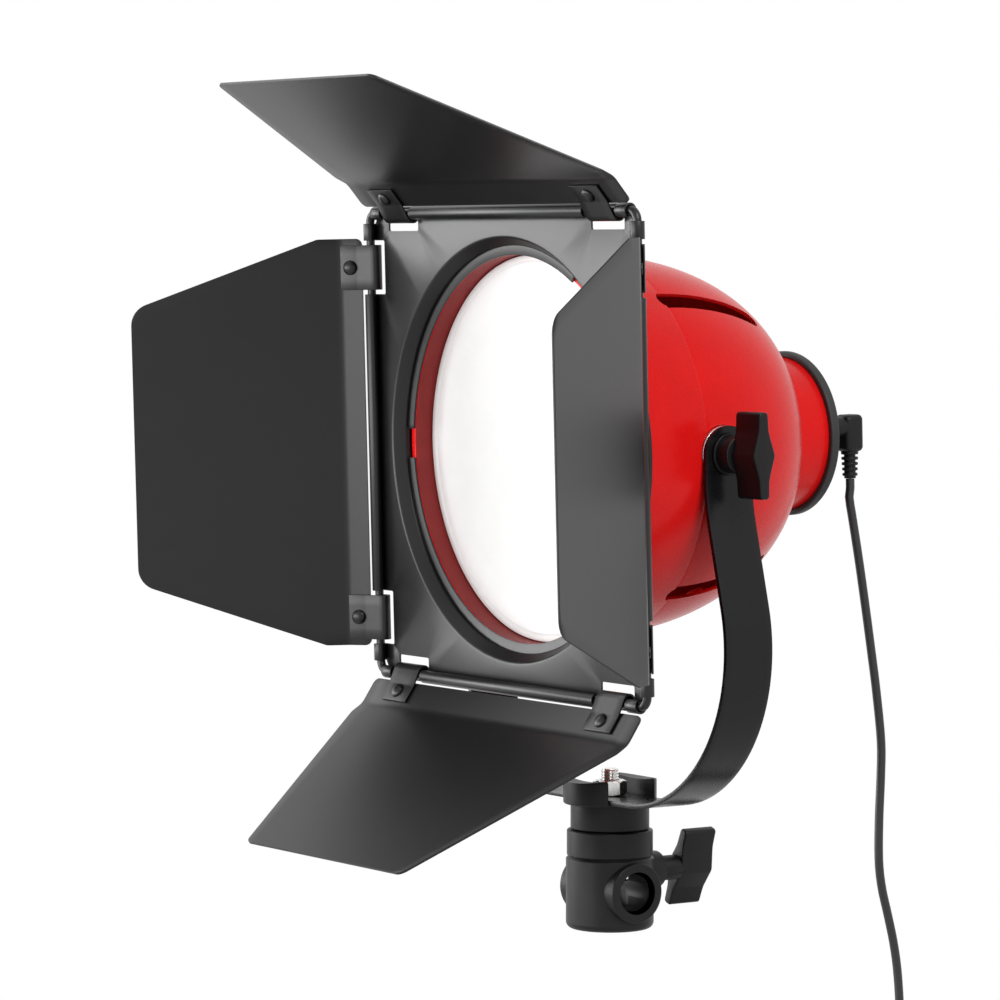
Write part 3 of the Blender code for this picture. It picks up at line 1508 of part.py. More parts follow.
def build_lead(plug_end):
    """The lead under the plug, its tied coil and the mains adapter that hangs on its end."""
    bpy.context.view_layer.update()
    head = bpy.data.objects["lamp_frame"].matrix_world
    start = head @ plug_end
    down = (head.to_3x3() @ Vector((0, 0, -1))).normalized()
    first = start + down * GAP
    coil = coil_points()
    route = [first, first + down * 2 * CORD_RADIUS]
    route += [Vector(point) * MM for point in LEAD_ROUTE]
    route += [coil[0] + Vector((0, 0, GAP + 2 * CORD_RADIUS)), coil[0] + Vector((0, 0, GAP))]
    lead = tube(smooth_route(route, LEAD_STEP), CORD_RADIUS, 2)
    add_part("cord_lead", lead, "rubber")
    print("least gap in the coil, mm:", round(coil_clearance(coil) / MM, 2))
    add_part("cord_coil", tube(coil, CORD_RADIUS, 1), "rubber")
    relief_top, relief_foot, relief_length = ADAPTER_RELIEF
    x, y, z = ADAPTER_PLACE
    end = Vector((x, y, z + GAP))
    route = [coil[-1] - Vector((0, 0, GAP)), coil[-1] - Vector((0, 0, GAP + 2 * CORD_RADIUS))]
    route += [Vector(point) * MM for point in TAIL_ROUTE]
    route += [end + Vector((0, 0, 2 * CORD_RADIUS)), end]
    add_part("cord_tail", tube(smooth_route(route, LEAD_STEP), CORD_RADIUS, 2), "rubber")
    width, depth, height = ADAPTER_SIZE
    top = z - relief_length
    body = box(
        (x - width / 2, y - depth / 2, top - height),
        (x + width / 2, y + depth / 2, top),
        ADAPTER_EDGE,
    )
    adapter = add_part("mains_adapter", body, "black_plastic")
    centre = (x, y, 0)
    relief = cylinder(
        relief_foot, top - 2 * MM, z, "+Z", centre, SMALL_STEPS, end_radius=relief_top
    )
    fuse(adapter, relief)
    build_adapter_pins(adapter, (x, y + depth / 2, top - PIN_PLATE_DROP))
    build_tie()


def build_adapter_pins(adapter, seat):
    """The plate with two flat pins that slides into the mains adapter's rear face."""
    width, depth, height = (size / 2 for size in PIN_PLATE)
    depth *= 2
    x, y, z = seat
    low, high = (x - width, y - depth, z - height), (x + width, y, z + height)
    margin = Vector((GAP, GAP, GAP))
    cut(adapter, box(Vector(low) - margin, Vector(high) + Vector((GAP, 5 * MM, GAP))))
    plate = add_part("adapter_pin_plate", box(low, high), "black_plastic")
    thickness, length, pin_height = PIN_SIZE
    pins = [
        box(
            (x + side * PIN_SPACING / 2 - thickness / 2, y - depth / 2, z - pin_height / 2),
            (x + side * PIN_SPACING / 2 + thickness / 2, y + length, z + pin_height / 2),
        )
        for side in (-1, 1)
    ]
    fuse(plate, joined("pins", pins))


def build_tie():
    """A strap tie round the coil's bundle, at its top."""
    width, thickness = TIE
    room = CORD_RADIUS + TIE_ROOM
    inner = COIL_OUTER - COIL_PITCH * COIL_TURNS_PER_LAYER
    left, right = COIL_X - room, COIL_X + COIL_PITCH * (COIL_LAYERS - 1) + room
    low, high = COIL_HIGH + inner - room, COIL_HIGH + COIL_OUTER + room
    bore, band = [
        rounded(
            [
                (left - grow, low - grow, 2.5 * MM + grow),
                (right + grow, low - grow, 2.5 * MM + grow),
                (right + grow, high + grow, 2.5 * MM + grow),
                (left - grow, high + grow, 2.5 * MM + grow),
            ],
            3,
        )
        for grow in (0.0, thickness)
    ]
    middle = COIL_REAR - COIL_OUTER
    strap = prism(band, "XZ", middle - width / 2, middle + width / 2, [bore])
    add_part("cord_tie", strap, "black_sheet")


def main():
    """Build the light."""
    global parts, cutters
    clear_scene()
    materials.clear()
    parts = bpy.data.collections.new("led_studio_light")
    cutters = bpy.data.collections.new("cutters")
    bpy.context.scene.collection.children.link(parts)
    bpy.context.scene.collection.children.link(cutters)
    head = new_empty("head_pivot", None, (0, 0, PIVOT_HEIGHT), (HEAD_TILT, 0, 0))
    lamp = new_empty("lamp_frame", head, (0, -PIVOT_BACK, PIVOT_DROP))
    turning = new_empty("barndoor_turn", lamp)
    build_frame(turning)
    build_hoop(turning)
    for side in DOOR_CLOCK:
        build_door(side, turning)
    build_housing(lamp)
    panel, panel_back = build_rear(lamp)
    build_controls(lamp, panel_back)
    build_diffuser(lamp)
    build_reflector(lamp)
    board_back = build_leds(lamp)
    sink_base = build_heat_sink(lamp, board_back)
    build_bracket(lamp, sink_base)
    build_driver(lamp, panel)
    build_bosses(head)
    build_pivot_hardware(head)
    build_yoke()
    build_fork()
    build_adapter()
    build_clamp()
    plug_end = build_plug(lamp, panel_back)
    build_lead(plug_end)


if __name__ == "__main__":
    main()
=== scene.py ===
"""LED studio light: the finished look of the light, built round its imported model.

Each sub-assembly is a class that holds its sizes in metres and builds, dresses and places its
own pieces. Surfaces are worked out as whole numpy grids: a profile turned round an axis, a
section carried along a path, or a sheet whose width follows a rule along its length.
"""

import json
import logging
import math
from collections.abc import Sequence
from dataclasses import dataclass
from enum import Enum

import bmesh
import bpy
import numpy as np
from mathutils import Matrix, Vector

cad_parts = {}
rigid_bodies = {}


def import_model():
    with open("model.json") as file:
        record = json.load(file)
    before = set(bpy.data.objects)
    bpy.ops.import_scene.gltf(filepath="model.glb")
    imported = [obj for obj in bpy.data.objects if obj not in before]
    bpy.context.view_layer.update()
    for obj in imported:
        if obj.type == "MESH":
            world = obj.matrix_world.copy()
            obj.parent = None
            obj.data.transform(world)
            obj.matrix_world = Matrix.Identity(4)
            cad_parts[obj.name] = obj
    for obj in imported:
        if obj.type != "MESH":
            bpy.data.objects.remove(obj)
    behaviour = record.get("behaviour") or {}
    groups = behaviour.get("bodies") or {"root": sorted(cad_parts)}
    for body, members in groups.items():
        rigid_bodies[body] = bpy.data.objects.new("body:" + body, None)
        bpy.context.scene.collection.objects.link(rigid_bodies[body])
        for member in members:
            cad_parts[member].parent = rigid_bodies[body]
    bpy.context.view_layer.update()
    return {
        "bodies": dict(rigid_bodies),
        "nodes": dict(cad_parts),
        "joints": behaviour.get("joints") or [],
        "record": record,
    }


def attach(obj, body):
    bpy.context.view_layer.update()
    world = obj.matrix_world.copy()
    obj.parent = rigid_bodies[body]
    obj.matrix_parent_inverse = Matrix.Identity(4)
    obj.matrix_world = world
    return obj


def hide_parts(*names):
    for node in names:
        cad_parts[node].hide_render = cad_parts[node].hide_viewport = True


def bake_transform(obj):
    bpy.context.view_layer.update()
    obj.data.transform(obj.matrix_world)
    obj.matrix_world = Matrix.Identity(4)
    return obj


MM = 0.001
DEG = math.pi / 180
LOG = logging.getLogger("studio_light")

# Fits, the bolts' common sizes and the standing pose, as in the model
GAP = 0.3 * MM
BOLT_RADIUS = 4.0 * MM
BOLT_HOLE = 4.3 * MM
BOLT_PITCH = 1.25 * MM
HEXAGON = 7.5 * MM
HEXAGON_THICKNESS = 5.3 * MM
HEAD_TILT = 1.6 * DEG
PIVOT_HEIGHT = 211.1 * MM
LEVEL = Matrix.Translation((0, 0, PIVOT_HEIGHT))
PIVOT = LEVEL @ Matrix.Rotation(HEAD_TILT, 4, "X")
LAMP_FROM_PIVOT = Matrix.Translation((0, -56.4 * MM, 1.2 * MM))
LAMP = PIVOT @ LAMP_FROM_PIVOT
TURNS = {
    "+Y": Matrix.Rotation(-math.pi / 2, 4, "X"),
    "-Y": Matrix.Rotation(math.pi / 2, 4, "X"),
    "+X": Matrix.Rotation(math.pi / 2, 4, "Y"),
    "-X": Matrix.Rotation(-math.pi / 2, 4, "Y"),
}

Pair = tuple[float, float]
Triple = tuple[float, float, float]
Profile = np.ndarray | Sequence[Sequence[float]]
Socket = bpy.types.NodeSocket


# Finishes


class Grain(Enum):
    """What breaks up a finish's surface."""

    ORANGE_PEEL = "orange peel"
    POWDER = "powder coat"
    MOULDED = "moulded grain"
    BRUSHED = "brushed"
    TRACKS = "circuit tracks"


class Nodes:
    """A shader's node tree under work."""

    def __init__(self, tree: bpy.types.NodeTree) -> None:
        """Take the tree that is worked on."""
        self.tree = tree

    def feed(self, node: bpy.types.Node, inputs: dict[int | str, object]) -> None:
        """Link each input that is given a socket, and set each other one to its value.

        Args:
            node: The node whose inputs are fed.
            inputs: A socket or a value for each input.
        """
        for name, value in inputs.items():
            if isinstance(value, Socket):
                self.tree.links.new(value, node.inputs[name])
            else:
                node.inputs[name].default_value = value

    def add(
        self, kind: str, inputs: dict[int | str, object], output: int | str = 0, **settings: str
    ) -> Socket | None:
        """Add a node.

        Args:
            kind: The node's type, without the first words that all types share.
            inputs: What each input is linked or set to.
            output: The output that is wanted.
            settings: The node's own settings.

        Returns:
            The wanted output, where the node has one.
        """
        node = self.tree.nodes.new("ShaderNode" + kind)
        for name, value in settings.items():
            setattr(node, name, value)
        self.feed(node, inputs)
        return node.outputs[output] if node.outputs else None

    def between(self, value: Socket, source: Pair, target: Pair) -> Socket:
        """Return the value with its source range spread over the target range."""
        ends = dict(zip(("From Min", "From Max", "To Min", "To Max"), source + target))
        return self.add("MapRange", {"Value": value, **ends})

    def seen(self) -> Socket:
        """Return one for rays from the camera, a mirror or clear material, and else zero.

        Returns:
            The share of white that such a ray gets.
        """
        path = self.tree.nodes.new("ShaderNodeLightPath").outputs
        value = path["Is Camera Ray"]
        for name in ("Is Glossy Ray", "Is Transmission Ray"):
            value = self.add("Math", {0: value, 1: path[name]}, operation="MAXIMUM")
        return value


@dataclass(frozen=True)
class Finish:
    """One finish: its colour, shine and surface grain.

    The grain is noise on object coordinates. It changes the colour and the roughness a little
    and bumps the surface, each at the finish's own scale.
    """

    name: str
    slot: str
    colour: Triple
    roughness: float
    grain: Grain
    cell: float
    depth: float
    mottle: float = 0.06
    spread: float = 0.06
    specular: float = 0.5
    metallic: float = 0.0
    subsurface: float = 0.0
    stretch: Triple = (1.0, 1.0, 1.0)

    CLOUD = 14 * MM
    NOISE_RANGE = (0.3, 0.7)
    COLOUR_STOPS = (0.35, 0.65)
    SCATTER = {"Subsurface Radius": (1.0, 0.95, 0.9), "Subsurface Scale": 2 * MM}

    def material(self) -> bpy.types.Material:
        """Return the node material of this finish, made at its first use.

        Returns:
            The material, shared by all pieces in this finish.
        """
        found = bpy.data.materials.get(self.name)
        if found:
            return found
        made = bpy.data.materials.new(self.name)
        made.use_nodes = True
        nodes = Nodes(made.node_tree)
        place = nodes.add("TexCoord", {}, "Object")
        place = nodes.add("Mapping", {"Vector": place, "Scale": self.stretch})
        cloud = self._noise(nodes, place, self.CLOUD, 3.0)
        fine = self._noise(nodes, place, self.cell, 2.0)
        rough = (self.roughness - self.spread, self.roughness + self.spread)
        bump = {"Height": fine, "Strength": 1.0, "Distance": self.depth}
        inputs = {
            "Base Color": self._colour(nodes, fine if self.grain is Grain.TRACKS else cloud),
            "Roughness": nodes.between(fine, self.NOISE_RANGE, rough),
            "Normal": nodes.add("Bump", bump),
            "Specular IOR Level": self.specular,
            "Metallic": self.metallic,
            "Subsurface Weight": self.subsurface,
        }
        if self.subsurface:
            inputs |= self.SCATTER
        nodes.feed(nodes.tree.nodes["Principled BSDF"], inputs)
        return made

    def _noise(self, nodes: Nodes, place: Socket, cell: float, detail: float) -> Socket:
        """Return noise around one half, whose features are about one cell across."""
        inputs = {"Vector": place, "Scale": 1 / cell, "Detail": detail, "Roughness": 0.55}
        return nodes.add("TexNoise", inputs, "Fac")

    def _colour(self, nodes: Nodes, value: Socket) -> Socket:
        """Return the colour, which drifts a little lighter and darker with the noise.

        Args:
            nodes: The material's nodes.
            value: The noise that the colour follows.

        Returns:
            The colour's socket.
        """
        colour = nodes.add("ValToRGB", {"Fac": value})
        shares = (1 - self.mottle, 1 + self.mottle)
        stops = colour.node.color_ramp.elements
        for stop, place, share in zip(stops, self.COLOUR_STOPS, shares):
            stop.position = place
            stop.color = (*(min(1.0, c * share) for c in self.colour), 1.0)
        return colour


RED = Finish(
    "red_satin_paint", "red_paint", (0.80, 0.008, 0.008), 0.26, Grain.ORANGE_PEEL,
    1.6 * MM, 0.003 * MM, mottle=0.03, spread=0.03, specular=0.15,
)
# A darker copy of the red paint, a little rougher, for the inner wall behind the rim: painted shade.
RED_PAINTED_SHADE = Finish(
    "red_paint_painted_shade", "red_paint", (0.30, 0.022, 0.02), 0.5, Grain.ORANGE_PEEL,
    1.6 * MM, 0.004 * MM, mottle=0.05, spread=0.04, specular=0.3,
)
SHEET_BLACK = Finish(
    "black_powder_coat", "black_sheet", (0.006, 0.006, 0.007), 0.34, Grain.POWDER,
    0.55 * MM, 0.008 * MM, mottle=0.1, spread=0.03, specular=0.4,
)
STRAP_BLACK = Finish(
    "black_gloss_paint", "yoke_black", (0.005, 0.005, 0.006), 0.26, Grain.ORANGE_PEEL,
    2.2 * MM, 0.002 * MM, mottle=0.08, spread=0.03, specular=0.25,
)
NYLON = Finish(
    "black_grained_nylon", "black_plastic", (0.008, 0.008, 0.009), 0.42, Grain.MOULDED,
    0.32 * MM, 0.02 * MM, mottle=0.12, specular=0.22,
)
RUBBER = Finish(
    "black_rubber", "rubber", (0.014, 0.014, 0.015), 0.6, Grain.MOULDED,
    0.4 * MM, 0.01 * MM, mottle=0.08,
)
CORD_JACKET = Finish(
    "black_cord_jacket", "rubber", (0.016, 0.016, 0.017), 0.38, Grain.MOULDED,
    0.8 * MM, 0.008 * MM, mottle=0.1,
)
ZINC = Finish(
    "bright_zinc", "zinc", (0.74, 0.74, 0.72), 0.24, Grain.BRUSHED,
    0.35 * MM, 0.006 * MM, mottle=0.08, spread=0.08, metallic=1.0,
)
ALUMINIUM = Finish(
    "extruded_aluminium", "aluminium", (0.8, 0.8, 0.82), 0.34, Grain.BRUSHED,
    0.5 * MM, 0.01 * MM, metallic=1.0, stretch=(0.1, 1.0, 1.0),
)
OPAL = Finish(
    "opal_diffuser", "opal", (0.93, 0.93, 0.92), 0.42, Grain.MOULDED,
    0.5 * MM, 0.006 * MM, mottle=0.012, subsurface=0.25,
)
WHITE = Finish(
    "white_reflector", "white_plastic", (0.84, 0.84, 0.82), 0.3, Grain.ORANGE_PEEL,
    1.5 * MM, 0.005 * MM, mottle=0.02,
)
CIRCUIT = Finish(
    "green_circuit_board", "board_green", (0.02, 0.17, 0.06), 0.4, Grain.TRACKS,
    2.4 * MM, 0.03 * MM, mottle=0.45, stretch=(1.0, 1.0, 0.25),
)
PHOSPHOR = Finish(
    "yellow_phosphor", "led_yellow", (0.85, 0.62, 0.12), 0.4, Grain.MOULDED,
    0.9 * MM, 0.03 * MM, mottle=0.1,
)
BRASS = Finish(
    "plain_brass", "brass", (0.75, 0.55, 0.22), 0.3, Grain.BRUSHED,
    0.4 * MM, 0.006 * MM, metallic=1.0, stretch=(1.0, 0.1, 1.0),
)


# Outlines and surfaces


def surface(*axes: np.ndarray | float) -> np.ndarray:
    """Return a grid of points from its three coordinates, each spread over the whole grid."""
    return np.stack(np.broadcast_arrays(*axes), axis=-1)


def units(rows: np.ndarray) -> np.ndarray:
    """Return each row divided by its own length."""
    return rows / np.maximum(np.linalg.norm(rows, axis=1), 1e-12)[:, None]


def arc(centre: Pair, radius: float, start: float, end: float, steps: int) -> np.ndarray:
    """Return points on an arc: the centre plus the radius times the angle's cosine and sine."""
    angle = np.linspace(start, end, steps + 1)
    return surface(centre[0] + radius * np.cos(angle), centre[1] + radius * np.sin(angle))


def rounded(corners: Sequence[Triple], steps: int = 5, closed: bool = True) -> np.ndarray:
    """Return an outline whose corners are arcs.

    Each corner's arc touches both of its sides. Its centre lies on the corner's bisector, the
    radius over the sine of half the corner's angle away.

    Args:
        corners: Each corner's two coordinates and its radius.
        steps: Steps along each arc.
        closed: Whether the last corner joins the first.

    Returns:
        The outline's points, one row each.
    """
    places = np.array([corner[:2] for corner in corners])
    straight = 1.5
    parts = []
    count = len(corners)
    for k, (_, _, radius) in enumerate(corners):
        if radius <= 0 or not (closed or 0 < k < count - 1):
            parts.append(places[k : k + 1])
            continue
        before, after = units(places[[k - 1, (k + 1) % count]] - places[k])
        half = math.acos(float(np.clip(before @ after, -1, 1))) / 2
        if half > straight:
            parts.append(places[k : k + 1])
            continue
        middle = before + after
        centre = places[k] + middle / np.linalg.norm(middle) * radius / math.sin(half)
        first = places[k] + before * radius / math.tan(half) - centre
        last = places[k] + after * radius / math.tan(half) - centre
        share = np.linspace(0, 1, steps + 1)[:, None]
        parts.append(centre + units(first * (1 - share) + last * share) * radius)
    return np.vstack(parts)


def line(corners: Sequence[Triple], steps: int = 4) -> np.ndarray:
    """Return an open outline whose inner corners are arcs."""
    return rounded(corners, steps, closed=False)


def oblong(
    low: Sequence[float], high: Sequence[float], radii: float | Triple, steps: int = 6
) -> np.ndarray:
    """Return a rectangle's outline.

    Args:
        low: Its lower corner.
        high: Its upper corner.
        radii: The radius of its corners, or one for each, counter-clockwise from the lower.
        steps: Steps along each corner.

    Returns:
        The outline's points, counter-clockwise.
    """
    x, y = (low[0], high[0], high[0], low[0]), (low[1], low[1], high[1], high[1])
    return rounded(list(zip(x, y, np.broadcast_to(radii, 4))), steps)


def inset(outline: np.ndarray, distance: float) -> np.ndarray:
    """Return a closed, counter-clockwise outline moved inwards along its own normals.

    Args:
        outline: The outline's points, one row each.
        distance: How far each side moves.

    Returns:
        The moved points, as many as before.
    """
    before = units(outline - np.roll(outline, 1, axis=0))
    after = units(np.roll(outline, -1, axis=0) - outline)
    along = units(before + after)
    stretch = 1 / np.maximum(0.6, np.sum(along * after, axis=1))
    inward = np.column_stack((-along[:, 1], along[:, 0]))
    return outline + inward * (distance * stretch)[:, None]


def smooth_route(points: Sequence[Sequence[float]], step: float) -> np.ndarray:
    """Return evenly spaced points along the Catmull-Rom curve through the given points.

    Each span is the usual cubic of its two points and their two neighbours, whose slope at a
    point is half the way from the neighbour before to the neighbour after.

    Args:
        points: The points that the curve goes through.
        step: The distance between the points returned.

    Returns:
        The points, one row each.
    """
    given = np.array(points, float)
    given = np.vstack((2 * given[0] - given[1], given, 2 * given[-1] - given[-2]))
    t = np.linspace(0, 1, 20, endpoint=False)[None, :, None]
    a, b, c, d = (given[k : len(given) - 3 + k, None, :] for k in range(4))
    linear, square, cube = c - a, 2 * a - 5 * b + 4 * c - d, 3 * b - a - 3 * c + d
    spans = 0.5 * (2 * b + linear * t + square * t**2 + cube * t**3)
    fine = np.vstack((spans.reshape(-1, 3), given[-2]))
    steps = np.linalg.norm(np.diff(fine, axis=0), axis=1)
    lengths = np.concatenate(([0.0], np.cumsum(steps)))
    wanted = np.linspace(0, lengths[-1], max(2, round(lengths[-1] / step)) + 1)
    return surface(*(np.interp(wanted, lengths, axis) for axis in fine.T))


class Shape:
    """A mesh under work, which each method changes and hands on."""

    def __init__(self, mesh: bpy.types.Mesh) -> None:
        """Take the mesh that is worked on."""
        self.mesh = mesh

    @classmethod
    def grid(
        cls, points: np.ndarray, loop_rows: bool = False, loop: bool = False, caps: bool = False
    ) -> "Shape":
        """Make a surface of four-sided faces over a grid of points.

        Args:
            points: The grid, rows by columns by three coordinates.
            loop_rows: Whether the last row joins the first.
            loop: Whether the last column joins the first.
            caps: Whether the first and last rows are filled by a face each.

        Returns:
            The surface, with its doubled points merged.
        """
        rows, columns = points.shape[:2]
        number = np.arange(rows * columns).reshape(rows, columns)
        if loop_rows:
            number = np.vstack((number, number[:1]))
        if loop:
            number = np.hstack((number, number[:, :1]))
        corners = (number[:-1, :-1], number[:-1, 1:], number[1:, 1:], number[1:, :-1])
        faces = np.stack(corners, axis=-1).reshape(-1, 4).tolist()
        if caps:
            faces += [number[0, :columns][::-1].tolist(), number[-1, :columns].tolist()]
        mesh = bpy.data.meshes.new("shape")
        mesh.from_pydata(points.reshape(-1, 3).tolist(), [], faces)
        return cls(mesh).welded()

    @classmethod
    def turned(cls, profile: Profile, steps: int = 96, ring: bool = False) -> "Shape":
        """Turn a profile round Z: radius times cosine and sine of the angle, and its height.

        Args:
            profile: Rows of radius and height.
            steps: Steps round the turn.
            ring: Whether the profile's end joins its start.

        Returns:
            The turned surface.
        """
        radius, height = np.asarray(profile, float).T[:, :, None]
        angle = np.linspace(0, 2 * math.pi, steps, endpoint=False)
        return cls.grid(surface(radius * np.cos(angle), radius * np.sin(angle), height), ring, True)

    @classmethod
    def pillar(
        cls, outline: np.ndarray, low: float, high: float, edge: float = 0.0, steps: int = 3
    ) -> "Shape":
        """Draw an outline out along Z, with its end edges rounded over.

        Each rim row is the outline moved inwards by the edge less its cosine, at a height of
        the edge less its sine from the end.

        Args:
            outline: The closed outline, counter-clockwise.
            low: Height of its lower end.
            high: Height of its upper end.
            edge: Radius of its end edges.
            steps: Steps round each edge.

        Returns:
            The closed solid.
        """
        turn = np.linspace(0, math.pi / 2, steps + 1) if edge else np.array([math.pi / 2])
        rims = [inset(outline, edge * (1 - math.sin(angle))) for angle in turn]
        rise = edge * (1 - np.cos(turn))
        drawn = np.stack(rims + rims[::-1])
        height = np.concatenate((low + rise, high - rise[::-1]))[:, None]
        return cls.grid(surface(drawn[..., 0], drawn[..., 1], height), loop=True, caps=True)

    @classmethod
    def swept(
        cls, path: np.ndarray, radius: float, sides: int = 16, closed: bool = False
    ) -> "Shape":
        """Carry a circle along a path, turned as little as can be from point to point.

        A point is the path's point plus the radius times the cosine and sine of its angle
        along two directions square to the path.

        Args:
            path: The middle line, one row a point.
            radius: The circle's radius.
            sides: Sides of the tube.
            closed: Whether the path is a loop that lies in one plane.

        Returns:
            The tube, with flat ends where the path is open.
        """
        around = np.roll(path, -1, axis=0) - np.roll(path, 1, axis=0)
        along = units(around if closed else np.gradient(path, axis=0))
        side = np.empty_like(path)
        if closed:
            side[:] = units(np.cross(along[:1], along[len(path) // 8]))
        else:
            side[:1] = units(np.cross(along[:1], (0.36, 0.48, 0.8)))
            for k in range(1, len(path)):
                kept = side[k - 1] - along[k] * (side[k - 1] @ along[k])
                side[k] = kept / np.linalg.norm(kept)
        other = np.cross(along, side)
        angle = np.linspace(0, 2 * math.pi, sides, endpoint=False)[None, :, None]
        ring = np.cos(angle) * side[:, None] + np.sin(angle) * other[:, None]
        return cls.grid(path[:, None] + radius * ring, closed, True, caps=not closed)

    def welded(self) -> "Shape":
        """Merge doubled points and turn the faces outwards.

        Returns:
            This shape.
        """
        bm = bmesh.new()
        bm.from_mesh(self.mesh)
        bmesh.ops.remove_doubles(bm, verts=bm.verts, dist=0.0005 * MM)
        bmesh.ops.recalc_face_normals(bm, faces=bm.faces)
        bm.to_mesh(self.mesh)
        bm.free()
        return self

    def joined(self, *others: "Shape") -> "Shape":
        """Add the other shapes' meshes to this one, as they are.

        Args:
            others: The shapes that are added and used up.

        Returns:
            This shape.
        """
        bm = bmesh.new()
        for shape in (self, *others):
            bm.from_mesh(shape.mesh)
        bm.to_mesh(self.mesh)
        bm.free()
        for shape in others:
            bpy.data.meshes.remove(shape.mesh)
        return self

    def moved(self, *matrices: Matrix) -> "Shape":
        """Move the points by each matrix in turn.

        Args:
            matrices: The moves, first to last.

        Returns:
            This shape.
        """
        for matrix in matrices:
            self.mesh.transform(matrix)
        return self

    def _through(self, kind: str, **settings: object) -> "Shape":
        """Run the mesh through one modifier and keep what comes out.

        Args:
            kind: The modifier's type.
            settings: Its settings.

        Returns:
            This shape.
        """
        worker = bpy.data.objects.new("worker", self.mesh)
        bpy.context.scene.collection.objects.link(worker)
        modifier = worker.modifiers.new("work", kind)
        for name, value in settings.items():
            setattr(modifier, name, value)
        graph = bpy.context.evaluated_depsgraph_get()
        self.mesh = bpy.data.meshes.new_from_object(worker.evaluated_get(graph))
        bpy.data.objects.remove(worker)
        return self

    def solid(self, thickness: float) -> "Shape":
        """Give a surface its sheet's thickness, half to each side."""
        self._through("SOLIDIFY", thickness=thickness, offset=0.0, use_even_offset=True)
        return self.welded()

    def eased(self, width: float, segments: int = 2, angle: float = 50.0) -> "Shape":
        """Round the edges that turn by more than the angle, in degrees.

        Args:
            width: The width of the rounding.
            segments: Its steps.
            angle: The least turn of an edge that is rounded.

        Returns:
            This shape.
        """
        return self._through(
            "BEVEL", width=width, segments=segments, limit_method="ANGLE",
            angle_limit=angle * DEG, miter_outer="MITER_ARC", use_clamp_overlap=True,
        )

    def _boolean(self, operation: str, others: Sequence["Shape"]) -> "Shape":
        """Cut or join with each of the other shapes, which are used up.

        Args:
            operation: The boolean's operation.
            others: The shapes that cut or join.

        Returns:
            This shape.
        """
        for other in others:
            tool = bpy.data.objects.new("tool", other.mesh)
            bpy.context.scene.collection.objects.link(tool)
            self._through("BOOLEAN", operation=operation, object=tool, solver="EXACT")
            bpy.data.objects.remove(tool)
        return self

    def cut(self, *others: "Shape") -> "Shape":
        """Take the other shapes out of this one."""
        return self._boolean("DIFFERENCE", others)

    def fused(self, *others: "Shape") -> "Shape":
        """Join the other shapes to this one as one body."""
        return self._boolean("UNION", others)

    def piece(
        self, name: str, finish: Finish, body: str, *nodes: str, sharp: float = 32.0
    ) -> bpy.types.Object:
        """Make the mesh a finished piece of the light.

        Args:
            name: The piece's name.
            finish: Its finish.
            body: The moving body that it rides on.
            nodes: The model's nodes that it stands for.
            sharp: The angle, in degrees, past which an edge stays sharp.

        Returns:
            The piece's object.
        """
        self.mesh.name = name
        self.mesh.materials.clear()
        self.mesh.materials.append(finish.material())
        self.mesh.shade_smooth()
        self.mesh.set_sharp_from_angle(angle=sharp * DEG)
        made = bpy.data.objects.new(name, self.mesh)
        bpy.context.scene.collection.objects.link(made)
        if body:
            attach(made, body)
        if nodes:
            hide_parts(*nodes)
        LOG.info("%s: %d faces", name, len(self.mesh.polygons))
        return made


def rod(radius: float, low: float, high: float, edge: float = 0.0, steps: int = 64) -> Shape:
    """Return a round bar along Z, with its end edges rounded over."""
    profile = [(0, low, 0), (radius, low, edge), (radius, high, edge), (0, high, 0)]
    return Shape.turned(line(profile, 3), steps)


def block(low: Triple, high: Triple, corner: float = 0.0, edge: float = 0.0) -> Shape:
    """Return a box between two corners, its upright edges and its end edges rounded."""
    return Shape.pillar(oblong(low, high, corner), low[2], high[2], edge)


def hexagon(
    low: float, high: float, across_corners: float = HEXAGON, chamfer: bool = True
) -> Shape:
    """Return a hexagonal head or nut.

    The radius at an angle is the hexagon's own: its flats' distance over the cosine of the
    angle from the nearest flat's middle. At the ends it is no more than a circle just inside
    the corners, which leaves the curved chamfers of a turned hexagon.

    Args:
        low: Height of its lower end.
        high: Height of its upper end.
        across_corners: The hexagon's radius at its corners.
        chamfer: Whether both ends are chamfered.

    Returns:
        The closed solid.
    """
    angle = np.linspace(0, 2 * math.pi, 96, endpoint=False)
    off = (angle + math.pi / 6) % (math.pi / 3) - math.pi / 6
    sides = across_corners * math.cos(math.pi / 6) / np.cos(math.pi / 6 - np.abs(off))
    cone = across_corners * 0.84
    share = np.linspace(0, 1, 5)[:, None] if chamfer else np.ones((1, 1))
    end = np.minimum(sides, cone + (across_corners - cone) * share)
    rise = 0.58 * (across_corners - cone) * share
    radius = np.vstack((end, end[::-1]))
    height = np.vstack((low + rise, (high - rise)[::-1]))
    points = surface(radius * np.cos(angle), radius * np.sin(angle), height)
    return Shape.grid(points, loop=True, caps=True)


def thread(low: float, high: float) -> Shape:
    """Return a threaded bar along Z.

    The radius falls from its crest by a triangle wave of the height over the pitch less the
    angle over a full turn, which winds the thread. It fades out at both ends.

    Args:
        low: Height of the lower end.
        high: Height of the upper end.

    Returns:
        The closed bar.
    """
    height = np.linspace(low, high, max(8, round((high - low) / BOLT_PITCH * 8)) + 1)[:, None]
    angle = np.linspace(0, 2 * math.pi, 48, endpoint=False)
    wave = np.abs((height / BOLT_PITCH - angle / (2 * math.pi)) % 1.0 - 0.5) * 2
    fade = np.clip(np.minimum(height - low, high - height) / (0.5 * BOLT_PITCH), 0, 1)
    size = BOLT_RADIUS - 0.5 * BOLT_PITCH * (wave * fade + (1 - fade))
    return Shape.grid(surface(size * np.cos(angle), size * np.sin(angle), height), loop=True, caps=True)


# Studio


